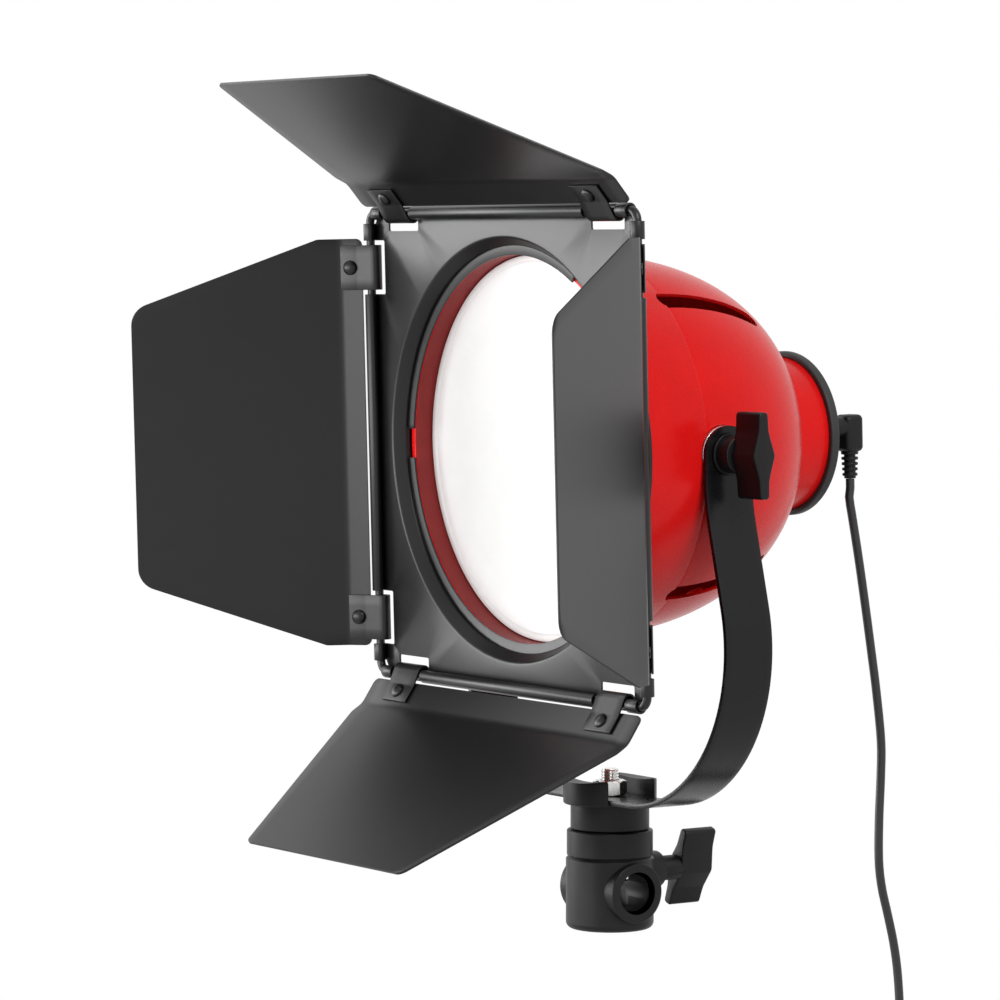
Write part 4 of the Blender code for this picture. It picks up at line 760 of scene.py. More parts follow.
@dataclass
class Studio:
    """The camera, the pale floor and the soft lamps."""

    camera_place: Triple = (1.61278, -1.13890, 0.29511)
    azimuth: float = 56.17 * DEG
    elevation: float = 3.11 * DEG
    lens: float = 162.90
    sensor: float = 36.0
    clip: Pair = (0.05, 60.0)
    floor_height: float = -0.2155
    floor_size: float = 16.0
    floor_grey: float = 0.72
    white_from: Pair = (0.3, 0.95)
    white_share: Pair = (0.66, 1.0)
    world_strength: float = 0.2

    # each lamp's place, target, width and height, and power in watts
    LAMPS = {
        "front": ((-0.6, -2.8, 0.3), (0, -0.02, 0.2), (3.0, 0.95), 60),
        "side": ((-2.3, -1.55, 0.35), (0, 0, 0.2), (1.1, 1.1), 26),
        "left": ((-2.2, -1.0, 1.6), (0, 0, 0.2), (1.2, 1.2), 11),
        "key": ((2.4, -0.2, 2.0), (0, 0, 0.2), (1.5, 1.5), 58),
    }

    def build(self) -> None:
        """Make the camera, the floor, the world and the lamps."""
        self._camera()
        self._floor()
        self._world()
        for name, (place, target, size, power) in self.LAMPS.items():
            lamp = bpy.data.lights.new(name, "AREA")
            lamp.shape = "RECTANGLE"
            lamp.size, lamp.size_y = size
            lamp.energy = power
            self._hang(name, lamp, place, Vector(target) - Vector(place))
        bpy.context.scene.view_settings.view_transform = "Standard"

    def _hang(self, name: str, data: bpy.types.ID, place: Triple, aim: Vector) -> bpy.types.Object:
        """Return a lamp or a camera hung at its place and aimed.

        Args:
            name: Its name.
            data: The lamp's or the camera's own data.
            place: Where it hangs.
            aim: The direction that it faces.

        Returns:
            The object.
        """
        made = bpy.data.objects.new(name, data)
        made.location = place
        made.rotation_mode = "QUATERNION"
        made.rotation_quaternion = aim.to_track_quat("-Z", "Y")
        bpy.context.scene.collection.objects.link(made)
        return made

    def _camera(self) -> None:
        """Place the camera where the photograph was taken from."""
        data = bpy.data.cameras.new("camera")
        data.sensor_width = self.sensor
        data.lens = self.lens
        data.clip_start, data.clip_end = self.clip
        level = math.cos(self.elevation)
        side, ahead = math.sin(self.azimuth) * level, math.cos(self.azimuth) * level
        aim = Vector((-side, ahead, -math.sin(self.elevation)))
        bpy.context.scene.camera = self._hang("camera", data, self.camera_place, aim)

    def _floor(self) -> None:
        """Lay the floor, which the camera and mirrors see as white but for the shadow."""
        span = np.linspace(-0.5, 0.5, 3) * self.floor_size
        floor = Shape.grid(surface(span[:, None], span, self.floor_height))
        made = bpy.data.materials.new("pale_floor")
        made.use_nodes = True
        nodes = Nodes(made.node_tree)
        shader = nodes.tree.nodes["Principled BSDF"]
        grey = (self.floor_grey,) * 3 + (1,)
        nodes.feed(shader, {"Base Color": grey, "Roughness": 0.9, "Specular IOR Level": 0.0})
        place = nodes.add("TexCoord", {}, "Object")
        far = nodes.add("VectorMath", {0: place}, "Value", operation="LENGTH")
        far = nodes.between(far, self.white_from, self.white_share)
        share = nodes.add("Math", {0: nodes.seen(), 1: far}, operation="MULTIPLY")
        white = nodes.add("Emission", {"Color": (1, 1, 1, 1)})
        mixed = nodes.add("MixShader", {0: share, 1: shader.outputs[0], 2: white})
        nodes.feed(nodes.tree.nodes["Material Output"], {"Surface": mixed})
        floor.mesh.materials.append(made)
        piece = bpy.data.objects.new("floor", floor.mesh)
        bpy.context.scene.collection.objects.link(piece)

    def _world(self) -> None:
        """Light the object softly from all round, in front of a white backdrop."""
        world = bpy.data.worlds.new("studio")
        bpy.context.scene.world = world
        world.use_nodes = True
        nodes = Nodes(world.node_tree)
        nodes.tree.nodes.clear()
        soft, white = (
            nodes.add("Background", {"Color": (1, 1, 1, 1), "Strength": strength})
            for strength in (self.world_strength, 1.0)
        )
        mixed = nodes.add("MixShader", {0: nodes.seen(), 1: soft, 2: white})
        nodes.add("OutputWorld", {"Surface": mixed})


# Plug and lead


@dataclass
class PowerLead:
    """The right-angle plug, its lead, the tied coil and the mains adapter."""

    cord_radius: float = 2.0 * MM
    route_step: float = 4 * MM
    plug_x: float = 24.0 * MM
    plug_z: float = 3.0 * MM
    seat: float = 155.9 * MM
    neck: Pair = (4.6 * MM, 9.0 * MM)
    pin: Pair = (2.75 * MM, 9 * MM)
    body: Triple = (10 * MM, 10 * MM, 16.5 * MM)
    body_top: float = 8.3 * MM
    body_edges: Pair = (2.6 * MM, 2.3 * MM)
    relief_length: float = 12 * MM
    ribs: int = 5
    rib_radius: float = 3.9 * MM
    rib_taper: float = 0.5 * MM
    core_radius: float = 2.6 * MM
    coil_x: float = 24.0 * MM
    coil_high: float = -84.0 * MM
    coil_rear: float = 144.0 * MM
    coil_outer: float = 28.7 * MM
    coil_pitch: float = 4.55 * MM
    coil_layers: int = 4
    turns_per_layer: float = 2.75
    points_per_turn: int = 24
    blend_height: float = -80 * MM
    tie: Triple = (8 * MM, 1.0 * MM, 0.7 * MM)
    adapter_place: Triple = (31 * MM, 131 * MM, -126 * MM)
    adapter_size: Triple = (46 * MM, 30 * MM, 76 * MM)
    adapter_relief: Triple = (3.0 * MM, 4.2 * MM, 12 * MM)
    plate: Triple = (12 * MM, 4 * MM, 8 * MM)
    plate_drop: float = 22 * MM
    blade: Triple = (0.75 * MM, 17 * MM, 3.15 * MM)
    blade_place: float = 6.35 * MM
    buried: float = 16 * MM

    # where the lead hangs, back and up, and where the tail runs on from the coil, in millimetres
    LEAD = (
        (113.6, 186.5), (115.6, 176.5), (119.2, 158.4), (123.3, 135.8), (126.4, 117.7),
        (129.4, 99.5), (132.3, 76.7), (132.3, 60.9), (131.4, 40.6), (131.4, 22.5),
        (133.1, 10.1), (136.6, -2.5), (139.9, -15.0), (142.2, -27.5), (143.6, -42.2),
        (144.2, -58.0),
    )
    TAIL = ((37.4, 143.7, -96.0), (35.6, 139.5, -106.0), (32.6, 133.4, -114.5))

    def build(self) -> None:
        """Build the plug, the lead and what hangs on its far end."""
        plug, exit_point, down = self._plug()
        path = self._path(exit_point, down)
        lead = Shape.swept(path, self.cord_radius, 14).piece("power_lead", CORD_JACKET, "")
        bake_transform(lead)
        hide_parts("cord_lead", "cord_coil", "cord_tail")
        adapter, plate = self._mains_adapter()
        tie = self._tie()

    def _plug(self) -> tuple[bpy.types.Object, Vector, Vector]:
        """Make the plug, moulded in one with its ribbed strain relief.

        Returns:
            The plug, the point where the lead leaves it, and the lead's direction there.
        """
        width, depth, height = self.body
        corner, edge = self.body_edges
        front, left = self.seat + self.neck[1], self.plug_x - width / 2
        outline = oblong((left, front), (left + width, front + depth), corner)
        body = Shape.pillar(outline, self.body_top - height, self.body_top, edge, 6)
        along = Matrix.Translation((self.plug_x, 0, self.plug_z)) @ TURNS["+Y"]
        pin_radius, pin_length = self.pin
        neck = rod(self.neck[0], self.seat, front + 3 * MM, 0.5 * MM, 48).moved(along)
        pin = rod(pin_radius, self.seat - pin_length, front + 2 * MM, 0.2 * MM, 32).moved(along)
        low, middle = self.body_top - height, front + depth / 2
        rib = self.relief_length / self.ribs
        corners = [(0.0, low + 2 * MM, 0.0), (self.rib_radius, low + 2 * MM, 0.0)]
        for k in range(self.ribs):
            radius = self.rib_radius - self.rib_taper * k / (self.ribs - 1)
            upper, lower = low - rib * k, low - rib * (k + 0.55)
            if k:
                corners += [(self.core_radius, upper, 0.15 * MM), (radius, upper, 0.35 * MM)]
            corners += [(radius, lower, 0.35 * MM), (self.core_radius, lower, 0.15 * MM)]
        bottom = low - self.relief_length
        corners += [(self.core_radius, bottom, 0.0), (0.0, bottom, 0.0)]
        relief = Shape.turned(line(corners, 3), 48)
        relief.moved(Matrix.Translation((self.plug_x, middle, 0)))
        plug = body.fused(neck, pin, relief).moved(LAMP).piece("plug", NYLON, "head", "dc_plug")
        down = (LAMP.to_3x3() @ Vector((0, 0, -1))).normalized()
        return plug, LAMP @ Vector((self.plug_x, middle, bottom)), down

    def _coil(self) -> np.ndarray:
        """Return the coil's middle line.

        The angle turns evenly. The radius falls and rises again at a steady rate, once for
        each pair of layers, and X climbs one pitch in the half turn round each reversal.

        Returns:
            The line's points, one row each.
        """
        per = self.turns_per_layer
        turns = self.coil_layers * per
        turn = np.linspace(0, turns, round(turns * self.points_per_turn) + 1)
        phase = (turn / per) % 2
        radius = self.coil_outer - self.coil_pitch * np.minimum(phase, 2 - phase) * per
        reversal = np.arange(1, self.coil_layers)[:, None] * per
        layer = np.clip((turn - reversal) * 2 + 0.5, 0, 1).sum(axis=0)
        angle = -turn * 2 * math.pi
        wound = surface(
            self.coil_x + self.coil_pitch * layer,
            self.coil_rear - self.coil_outer + radius * np.cos(angle),
            self.coil_high + radius * np.sin(angle),
        )
        run = np.array((0, 0, 2 * self.cord_radius))
        start = np.array([(self.coil_x, self.coil_rear, self.coil_high)]) + run
        return np.vstack((start, wound, wound[-1:] - run))

    def _path(self, exit_point: Vector, down: Vector) -> np.ndarray:
        """Return the whole lead's middle line, from the plug to its anchor in the adapter.

        Args:
            exit_point: Where the lead leaves the plug.
            down: Its direction there.

        Returns:
            The line's points, one row each.
        """
        coil = self._coil()
        straight = 2 * self.cord_radius
        first = exit_point + down * GAP
        lead = [tuple(first), tuple(first + down * straight)]
        lead += [(self.plug_x, y * MM, z * MM) for y, z in self.LEAD]
        lead += [coil[0] + (0, 0, GAP + straight), coil[0] + (0, 0, GAP)]
        x, y, z = self.adapter_place
        tail = [coil[-1] - (0, 0, GAP), coil[-1] - (0, 0, GAP + straight)]
        tail += [np.array(point) * MM for point in self.TAIL]
        tail += [(x, y, z + height) for height in (GAP + straight, GAP, -self.buried)]
        upper, lower = (smooth_route(points, self.route_step) for points in (lead, tail))
        return np.vstack((upper, coil, lower))

    def _mains_adapter(self) -> tuple[bpy.types.Object, bpy.types.Object]:
        """Make the mains adapter with its moulded relief, parting line and pin plate.

        Returns:
            The case, and the plate with its pins.
        """
        x, y, z = self.adapter_place
        width, depth, height = self.adapter_size
        relief_top, relief_foot, relief_length = self.adapter_relief
        top = z - relief_length
        low, left, right, rear = top - height, x - width / 2, x + width / 2, y + depth / 2
        body = block((left, y - depth / 2, low), (right, rear, top), 5 * MM, 2.5 * MM)
        groove, past = 0.3 * MM, 1 * MM
        core, slot = (
            block((left + d, y - groove, low - past), (right - d, y + groove, top + past))
            for d in (0.5 * MM, -past)
        )
        body.cut(slot.cut(core))
        corners = [(0.0, top - 2 * MM, 0.0), (relief_foot, top - 2 * MM, 0.0)]
        for s in np.linspace(0, 1, 6)[:-1]:
            radius = relief_foot + (relief_top - relief_foot) * s
            level, inner = top + 0.6 * MM + (relief_length - 1.0 * MM) * s, radius - 0.7 * MM
            corners += [(radius, level, 0.2 * MM), (radius, level + 1.2 * MM, 0.2 * MM)]
            corners += [(inner, level + 1.2 * MM, 0.1 * MM), (inner, level + 2.2 * MM, 0.1 * MM)]
        tip = relief_top - 0.2 * MM
        corners += [(tip, z - 0.4 * MM, 0.2 * MM), (tip, z, 0.3 * MM), (0.0, z, 0.0)]
        relief = Shape.turned(line(corners, 3), 40)
        body.fused(relief.moved(Matrix.Translation((x, y, 0))))
        seat = np.array((x, rear, top - self.plate_drop))
        half_x, deep, half_z = self.plate
        low_end, high_end = (-half_x, -deep, -half_z), np.array((half_x, 0, half_z))
        body.cut(block(seat + low_end - GAP, seat + high_end + (GAP, 5 * MM, GAP)))
        adapter = body.piece("mains_adapter_case", NYLON, "yoke", "mains_adapter")
        plate = block(seat + low_end, seat + high_end).eased(0.3 * MM)
        thick, reach, tall = self.blade
        for middle in (x - self.blade_place, x + self.blade_place):
            ends = (middle - thick, rear - 2 * MM), (middle + thick, rear + reach)
            outline = oblong(*ends, (0.0, 0.0, 0.5 * MM, 0.5 * MM), 4)
            plate.joined(Shape.pillar(outline, seat[2] - tall, seat[2] + tall, 0.25 * MM))
        return adapter, plate.piece("adapter_pins", BRASS, "yoke", "adapter_pin_plate")

    def _tie(self) -> bpy.types.Object:
        """Make the strap tie round the coil's bundle, a rounded band carried round it.

        Returns:
            The tie.
        """
        width, thick, loose = self.tie
        room = self.cord_radius + loose + 0.55 * thick
        inner = self.coil_outer - self.coil_pitch * self.turns_per_layer
        right = self.coil_x + self.coil_pitch * (self.coil_layers - 1) + room
        low, high = self.coil_high + inner - room, self.coil_high + self.coil_outer + room
        loop = oblong((self.coil_x - room, low), (right, high), 3 * MM, 8)
        depth = self.coil_rear - self.coil_outer + np.linspace(-0.5, 0.5, 9)[:, None] * width
        band = Shape.grid(surface(loop[:, 0], depth, loop[:, 1]), loop=True)
        band.solid(thick).eased(0.25 * MM)
        return band.piece("coil_tie", NYLON, "yoke", "cord_tie")


# Barn doors


@dataclass
class BarnDoors:
    """The turning square frame, its hinge wire and the four hinged leaves."""

    side: float = 205 * MM
    wire_radius: float = 1.9 * MM
    wire_corner: float = 4.5 * MM
    sheet: float = 0.9 * MM
    sheet_middle: float = 2.65 * MM
    frame_corner: float = 8 * MM
    notch_width: float = 24 * MM
    notch_depth: float = 7.9 * MM
    clip_offset: float = 78.5 * MM
    roll_end: float = 98 * MM
    roll_turn: Pair = (-102 * DEG, 160 * DEG)
    ring_outer: float = 93.2 * MM
    step_outer: float = 91.92 * MM
    step_inner: float = 88.45 * MM
    step_back: float = 7.05 * MM
    lip_inner: float = 83.9 * MM
    lip_middle: float = 8.65 * MM
    collar: Pair = (87.9 * MM, 88.8 * MM)
    collar_end: float = 15.2 * MM
    gap_width: float = 13 * MM
    gap_reach: Pair = (81.9 * MM, 87.75 * MM)
    gap_angles: tuple[float, ...] = (180 * DEG, 55 * DEG, -55 * DEG)
    ring_steps: int = 192
    leaf_sheet: float = 1.0 * MM
    hinge_to_flange: float = 4.35 * MM
    flange_corner: float = 3 * MM
    bend_reach: float = 2.0 * MM
    clip_width: float = 20 * MM
    clip_sheet: float = 0.8 * MM
    clip_length: float = 14.4 * MM
    loop_reach: float = 5.0 * MM
    rivet_height: float = 9.6 * MM
    rivet_dome: Pair = (3.3 * MM, 1.6 * MM)
    rivet_shank: float = 1.4 * MM
    rivet_tail: Pair = (2.4 * MM, 0.6 * MM)

    REST = {"left": 55.8 * DEG, "right": 56.7 * DEG, "top": 50.3 * DEG, "bottom": 54.2 * DEG}
    CLOCK = {"top": 0.0, "right": 90 * DEG, "bottom": 180 * DEG, "left": 270 * DEG}
    # flange length, straight stretch, panel length, width, outer width, bend, outer corner
    SIDE_LEAF = (10.8 * MM, 10.2 * MM, 94.3 * MM, 182.8 * MM, 123.2 * MM, 23.5 * DEG, 10 * MM)
    END_LEAF = (13.4 * MM, 6.5 * MM, 99.5 * MM, 204.9 * MM, 122.8 * MM, 24.4 * DEG, 5 * MM)

    def build(self) -> None:
        """Build the frame, the wire and the doors."""
        self._frame()
        self._wire()
        for side, clock in self.CLOCK.items():
            self._door(side, clock)

    def _notch(self) -> Pair:
        """Return how far a notch's near and far ends are from the middle of its side."""
        return self.clip_offset - self.notch_width / 2, self.clip_offset + self.notch_width / 2

    def _outline(self) -> np.ndarray:
        """Return the sheet's square outline, with two notches a side and rounded corners.

        Returns:
            The outline's points, one row each.
        """
        half = self.side / 2
        near, far = self._notch()
        deep = half - self.notch_depth
        edge = [(-far, half, 0.4 * MM), (-far, deep, 0.8 * MM), (-near, deep, 0.8 * MM)]
        edge += [(-near, half, 0.4 * MM)]
        edge += [(-x, y, r) for x, y, r in edge[::-1]] + [(half, half, self.frame_corner)]
        corners = []
        for c, s in ((1, 0), (0, -1), (-1, 0), (0, 1)):
            corners += [(c * x - s * y, s * x + c * y, r) for x, y, r in edge]
        return rounded(corners, 4)

    def _plate(self) -> Shape:
        """Fill the flat sheet between its outline and the ring's outer edge.

        Returns:
            The flat sheet, without its thickness.
        """
        angle = np.linspace(0, 2 * math.pi, self.ring_steps, endpoint=False)
        bm = bmesh.new()
        edges = []
        for loop in (self._outline(), surface(np.cos(angle), np.sin(angle)) * self.ring_outer):
            corners = [bm.verts.new((x, self.sheet_middle, z)) for x, z in loop]
            edges += [bm.edges.new(pair) for pair in zip(corners, corners[1:] + corners[:1])]
        bmesh.ops.triangle_fill(bm, use_beauty=True, edges=edges)
        mesh = bpy.data.meshes.new("plate")
        bm.to_mesh(mesh)
        bm.free()
        return Shape(mesh)

    def _frame(self) -> None:
        """Make the sheet with its stepped ring, lip, collar and rolled edges."""
        profile = [
            (self.ring_outer, self.sheet_middle, 0.0), (self.step_outer, self.sheet_middle, 1.2 * MM),
            (self.step_inner, self.step_back, 0.8 * MM), (self.step_inner, self.lip_middle, 0.5 * MM),
            (self.lip_inner, self.lip_middle, 0.0),
        ]
        ring = Shape.turned(line(profile, 5), self.ring_steps).moved(TURNS["+Y"])
        frame = self._plate().joined(ring).welded().solid(self.sheet)
        half, front, back = self.gap_width / 2, self.lip_middle - 1 * MM, self.lip_middle + 1 * MM
        near, far = self.gap_reach
        for angle in self.gap_angles:
            gap = block((near, front, -half), (far, back, half))
            frame.cut(gap.moved(Matrix.Rotation(-angle, 4, "Y")))
        frame.eased(0.18 * MM)
        low, high = self.collar
        front, back = (self.lip_middle, 0.0), (self.collar_end, 0.25 * MM)
        collar = rounded([(high, *back), (high, *front), (low, *front), (low, *back)], 3)
        frame.joined(Shape.turned(collar, self.ring_steps, True).moved(TURNS["+Y"]))
        near, far = self._notch()
        for clock in self.CLOCK.values():
            for start, end in ((-self.roll_end, -far), (-near, near), (far, self.roll_end)):
                frame.joined(self._roll(start, end).moved(Matrix.Rotation(clock, 4, "Y")))
        frame.moved(LAMP).piece("door_frame", SHEET_BLACK, "barndoor_frame", "barndoor_frame")

    def _roll(self, start: float, end: float) -> Shape:
        """Return one rolled edge: an arc round the wire, drawn out along it.

        Args:
            start: Where along the side it starts.
            end: Where it ends.

        Returns:
            The rolled edge of the top side.
        """
        radius = self.wire_radius + GAP + self.sheet / 2
        up, back = arc((0, 0), radius, *self.roll_turn, 26).T[:, :, None]
        points = surface(np.array((start, end)), -back, self.side / 2 + up)
        return Shape.grid(points).solid(self.sheet).eased(0.15 * MM)

    def _wire(self) -> None:
        """Make the closed square of wire that the doors turn on."""
        half, signs = self.side / 2, ((-1, 1), (1, 1), (1, -1), (-1, -1))
        loop = rounded([(x * half, z * half, self.wire_corner) for x, z in signs], 10)
        wire = Shape.swept(surface(loop[:, 0], 0.0, loop[:, 1]), self.wire_radius, 20, True)
        wire.moved(LAMP).piece("hinge_wire", SHEET_BLACK, "barndoor_frame", "hoop_wire")

    def _leaf(self, style: tuple[float, ...]) -> Shape:
        """Return a leaf: half width times place across, carried along the bent middle line.

        The half width follows the leaf's own outline: a rounded foot, an upright flange, a
        straight stretch, a taper and a rounded outer corner.

        Args:
            style: The leaf's sizes.

        Returns:
            The leaf, on its hinge line.
        """
        flange, straight, panel, width, outer_width, bend, corner = style
        half, outer, total, reach = width / 2, outer_width / 2, flange + panel, self.bend_reach
        corners = [(0, 0, 0), (half, 0, self.flange_corner), (half, flange + straight, 6 * MM)]
        edge = line(corners + [(outer, total, corner), (0, total, 0)], 8)[1:-1]
        stops = np.concatenate((edge[:, 1], flange + np.linspace(-1.1, 1.1, 9) * reach))
        stops = np.unique(np.round(stops, 7))
        wide = np.interp(stops, edge[:, 1], edge[:, 0])[:, None]
        turn = np.clip((stops - flange + reach) / (2 * reach), 0, 1) * bend
        middle = (turn[1:] + turn[:-1]) / 2
        steps = np.diff(stops)[:, None] * surface(-np.sin(middle), np.cos(middle))
        y, z = np.vstack(((0.0, 0.0), np.cumsum(steps, axis=0))).T[:, :, None]
        points = surface(wide * np.linspace(-1, 1, 25), y, self.hinge_to_flange + z)
        return Shape.grid(points).solid(self.leaf_sheet).eased(0.28 * MM, angle=45)

    def _clip(self, place: float) -> Shape:
        """Return a sheet clip: flat over the flange and the wire, then folded back behind it.

        Args:
            place: The clip's middle along the hinge line.

        Returns:
            The clip, on its hinge line.
        """
        radius = self.wire_radius + GAP + self.clip_sheet / 2
        drop = self.loop_reach - radius - self.clip_sheet / 2
        leaf = -(self.leaf_sheet / 2 + GAP + self.clip_sheet / 2)
        corners = [(leaf, self.clip_length, 0), (leaf, 6.3 * MM, 8 * MM)]
        front = line(corners + [(-radius, -1.0 * MM, 3 * MM), (-radius, -drop, 0)], 6)
        turn = np.linspace(0, math.pi, 24)[1:]
        fold = surface(-radius * np.cos(turn), -drop - radius * np.sin(turn))
        path = np.vstack((front, fold, [(radius, 0.0), (radius - 0.3 * MM, 1.6 * MM)]))
        across = place + np.linspace(-0.5, 0.5, 5) * self.clip_width
        points = surface(across, path[:, :1], path[:, 1:])
        return Shape.grid(points).solid(self.clip_sheet).eased(0.2 * MM)

    def _rivet(self, place: float) -> Shape:
        """Return a rivet: a dome on the clip, its shank and its tail behind the flange.

        Args:
            place: The rivet's place along the hinge line.

        Returns:
            The rivet, on its hinge line.
        """
        back = -(self.leaf_sheet / 2 + GAP)
        seat = self.clip_sheet + GAP - back
        radius, rise = self.rivet_dome
        tail, thick = self.rivet_tail
        bulge = np.linspace(math.pi / 2, 0, 10)
        dome = surface(radius * np.cos(bulge), seat + rise * np.sin(bulge) ** 1.2)
        corners = [(self.rivet_shank, seat, 0), (self.rivet_shank, back, 0), (tail, back, 0)]
        rest = line(corners + [(tail, back - thick, 0.3 * MM), (0, back - thick, 0)], 3)
        shape = Shape.turned(np.vstack((dome, rest)), 36)
        return shape.moved(Matrix.Translation((place, 0, self.rivet_height)) @ TURNS["-Y"])

    def _door(self, side: str, clock: float) -> None:
        """Make one door with its clips and rivets, on its hinge line.

        Args:
            side: The side of the frame that it hangs on.
            clock: That side's angle round the lamp's axis, from the top.
        """
        half, body = self.side / 2, f"door_{side}"
        place = Matrix.Translation((half * math.sin(clock), 0, half * math.cos(clock)))
        lean = Matrix.Rotation(math.pi / 2 - self.REST[side], 4, "X")
        hinge = LAMP @ place @ Matrix.Rotation(clock, 4, "Y") @ lean
        style = self.SIDE_LEAF if side in ("left", "right") else self.END_LEAF
        self._leaf(style).moved(hinge).piece(f"leaf_{side}", SHEET_BLACK, body, body)
        for number, across in enumerate((-self.clip_offset, self.clip_offset), 1):
            kinds = (("hinge_clip", "clip", self._clip), ("dome_rivet", "rivet", self._rivet))
            for name, node, make in kinds:
                tag = f"_{side}_{number}"
                make(across).moved(hinge).piece(name + tag, SHEET_BLACK, body, node + tag)


# Lamp head


@dataclass
class LampHead:
    """The red shell with its drum, diffuser, rear controls and pivot bosses."""

    rim_radius: float = 87.4 * MM
    rim_front: float = 9.4 * MM
    rim_inner: float = 84.2 * MM
    ledge_inner: float = 80.5 * MM
    ledge: Pair = (21.5 * MM, 23.0 * MM)
    # how far back the painted shade on the rim's inner wall reaches
    painted_shade_end: float = 24 * MM
    crease: float = 48 * MM
    crease_front: float = 83.5 * MM
    crease_rear: float = 82.7 * MM
    groove: float = 12.6 * MM
    groove_half: float = 1.8 * MM
    groove_depth: float = 1.1 * MM
    dome_length: float = 80.6 * MM
    dome_flat: float = 30 * MM
    back_power: float = 1.82
    side_power: float = 2.2
    wall: float = 1.5 * MM
    slot_width: float = 9 * MM
    slot_ends: Pair = (44.5 * MM, 104 * MM)
    slot_reach: Pair = (50 * MM, 95 * MM)
    slot_clocks: tuple[float, ...] = (0.0, 40 * DEG, 138 * DEG, 180 * DEG, 222 * DEG, 320 * DEG)
    drum_radius: float = 34.2 * MM
    drum_ends: Pair = (124 * MM, 151.5 * MM)
    drum_wall: float = 1.4 * MM
    drum_flange: float = 2.8 * MM
    trim_radius: float = 36.8 * MM
    trim_lip: float = 31.5 * MM
    trim_ends: Triple = (150.3 * MM, 153.6 * MM, 155.0 * MM)
    diffuser_radius: float = 83.8 * MM
    diffuser_rim: float = 4 * MM
    diffuser_front: float = 18.0 * MM
    diffuser_back: float = 21.2 * MM
    dish: Triple = (0.6 * MM, 2.2 * MM, 2.6 * MM)
    dish_step: float = 0.12 * MM
    cone_foot: Pair = (45.5 * MM, 57.0 * MM)
    cone_mouth: Pair = (79.5 * MM, 23.3 * MM)
    cone_flange: float = 83.2 * MM
    cone_wall: float = 1.2 * MM
    inlet_place: Pair = (24 * MM, 3 * MM)
    inlet_radii: Triple = (3.05 * MM, 5.0 * MM, 6.3 * MM)
    switch_place: float = -12 * MM
    switch_half: Pair = (6.5 * MM, 9.5 * MM)
    switch_edge: float = 1.6 * MM
    switch_wall: float = 1.4 * MM
    rocker_axis: float = 4.5 * MM
    rocker_crown: float = 6.5 * MM
    rocker_lean: float = 8 * DEG
    boss_radius: float = 12 * MM
    boss_ends: Pair = (75.8 * MM, 84.3 * MM)
    boss_flange: Pair = (15 * MM, 77.8 * MM)
    washer_radius: float = 9 * MM
    washer_ends: Pair = (86.9 * MM, 88.1 * MM)
    bolt_ends: Triple = (66 * MM, 88.4 * MM, 93.7 * MM)
    steps: int = 192

    def build(self) -> None:
        """Build the head's pieces."""
        self._shell()
        self._drum()
        self._diffuser()
        self._reflector()
        self._inlet()
        self._switch()
        self._bosses()

    def _turned(self, profile: Profile, ring: bool = False, steps: int = 128) -> Shape:
        """Turn a profile of radius and distance back round the lamp's axis."""
        return Shape.turned(profile, steps, ring).moved(TURNS["+Y"])

    def _band(self, back: float) -> float:
        """Return the front band's radius, which narrows evenly to the crease."""
        share = (back - self.rim_front) / (self.crease - self.rim_front)
        return self.rim_radius + (self.crease_front - self.rim_radius) * share

    def _dome(self) -> np.ndarray:
        """Return the dome's outer curve, a superellipse from the crease to the drum.

        Length and radius follow the sine and the cosine of one angle, each raised to its own
        power.

        Returns:
            Rows of radius and distance back.
        """
        deep = self.crease_rear - self.dome_flat
        edge = (self.drum_radius + GAP - self.dome_flat) / deep
        angle = np.linspace(0, 1, 49) ** 1.15 * math.acos(edge ** (self.side_power / 2))
        back = self.crease + self.dome_length * np.sin(angle) ** (2 / self.back_power)
        return surface(self.dome_flat + deep * np.cos(angle) ** (2 / self.side_power), back)

    def _profile(self) -> np.ndarray:
        """Return the shell's profile: the dome, its rim, groove and crease, and its inside.

        Returns:
            Rows of radius and distance back.
        """
        dome = self._dome()
        front, rear = self.groove - self.groove_half, self.groove + self.groove_half
        bottom = self._band(self.groove) - self.groove_depth
        ledge_front, ledge_back = self.ledge
        corners = [
            (self.crease_rear - 0.1 * MM, self.crease + 0.4 * MM, 0),
            (self.crease_rear, self.crease, 0.3 * MM),
            (self.crease_front, self.crease - 0.8 * MM, 0.5 * MM),
            (self._band(rear), rear, 0.3 * MM), (bottom, rear, 0.2 * MM),
            (bottom, front, 0.2 * MM), (self._band(front), front, 0.3 * MM),
            (self.rim_radius, self.rim_front, 0.5 * MM), (self.rim_inner, self.rim_front, 0.5 * MM),
            (self.rim_inner, ledge_front, 0), (self.ledge_inner, ledge_front, 0.3 * MM),
            (self.ledge_inner, ledge_back, 0.3 * MM),
            (self._band(ledge_back) - self.wall, ledge_back, 0),
            (self.crease_rear - self.wall, self.crease, 0),
        ]
        along = units(np.gradient(dome, axis=0))
        inner = dome + np.column_stack((-along[:, 1], along[:, 0])) * self.wall
        bore = self.drum_radius + GAP
        inner[-1] = (bore, dome[-1, 1] - self.wall)
        inner = inner[(inner[:, 1] > self.crease + 1 * MM) & (inner[:, 0] >= bore)]
        return np.vstack((dome[:0:-1], line(corners), inner))

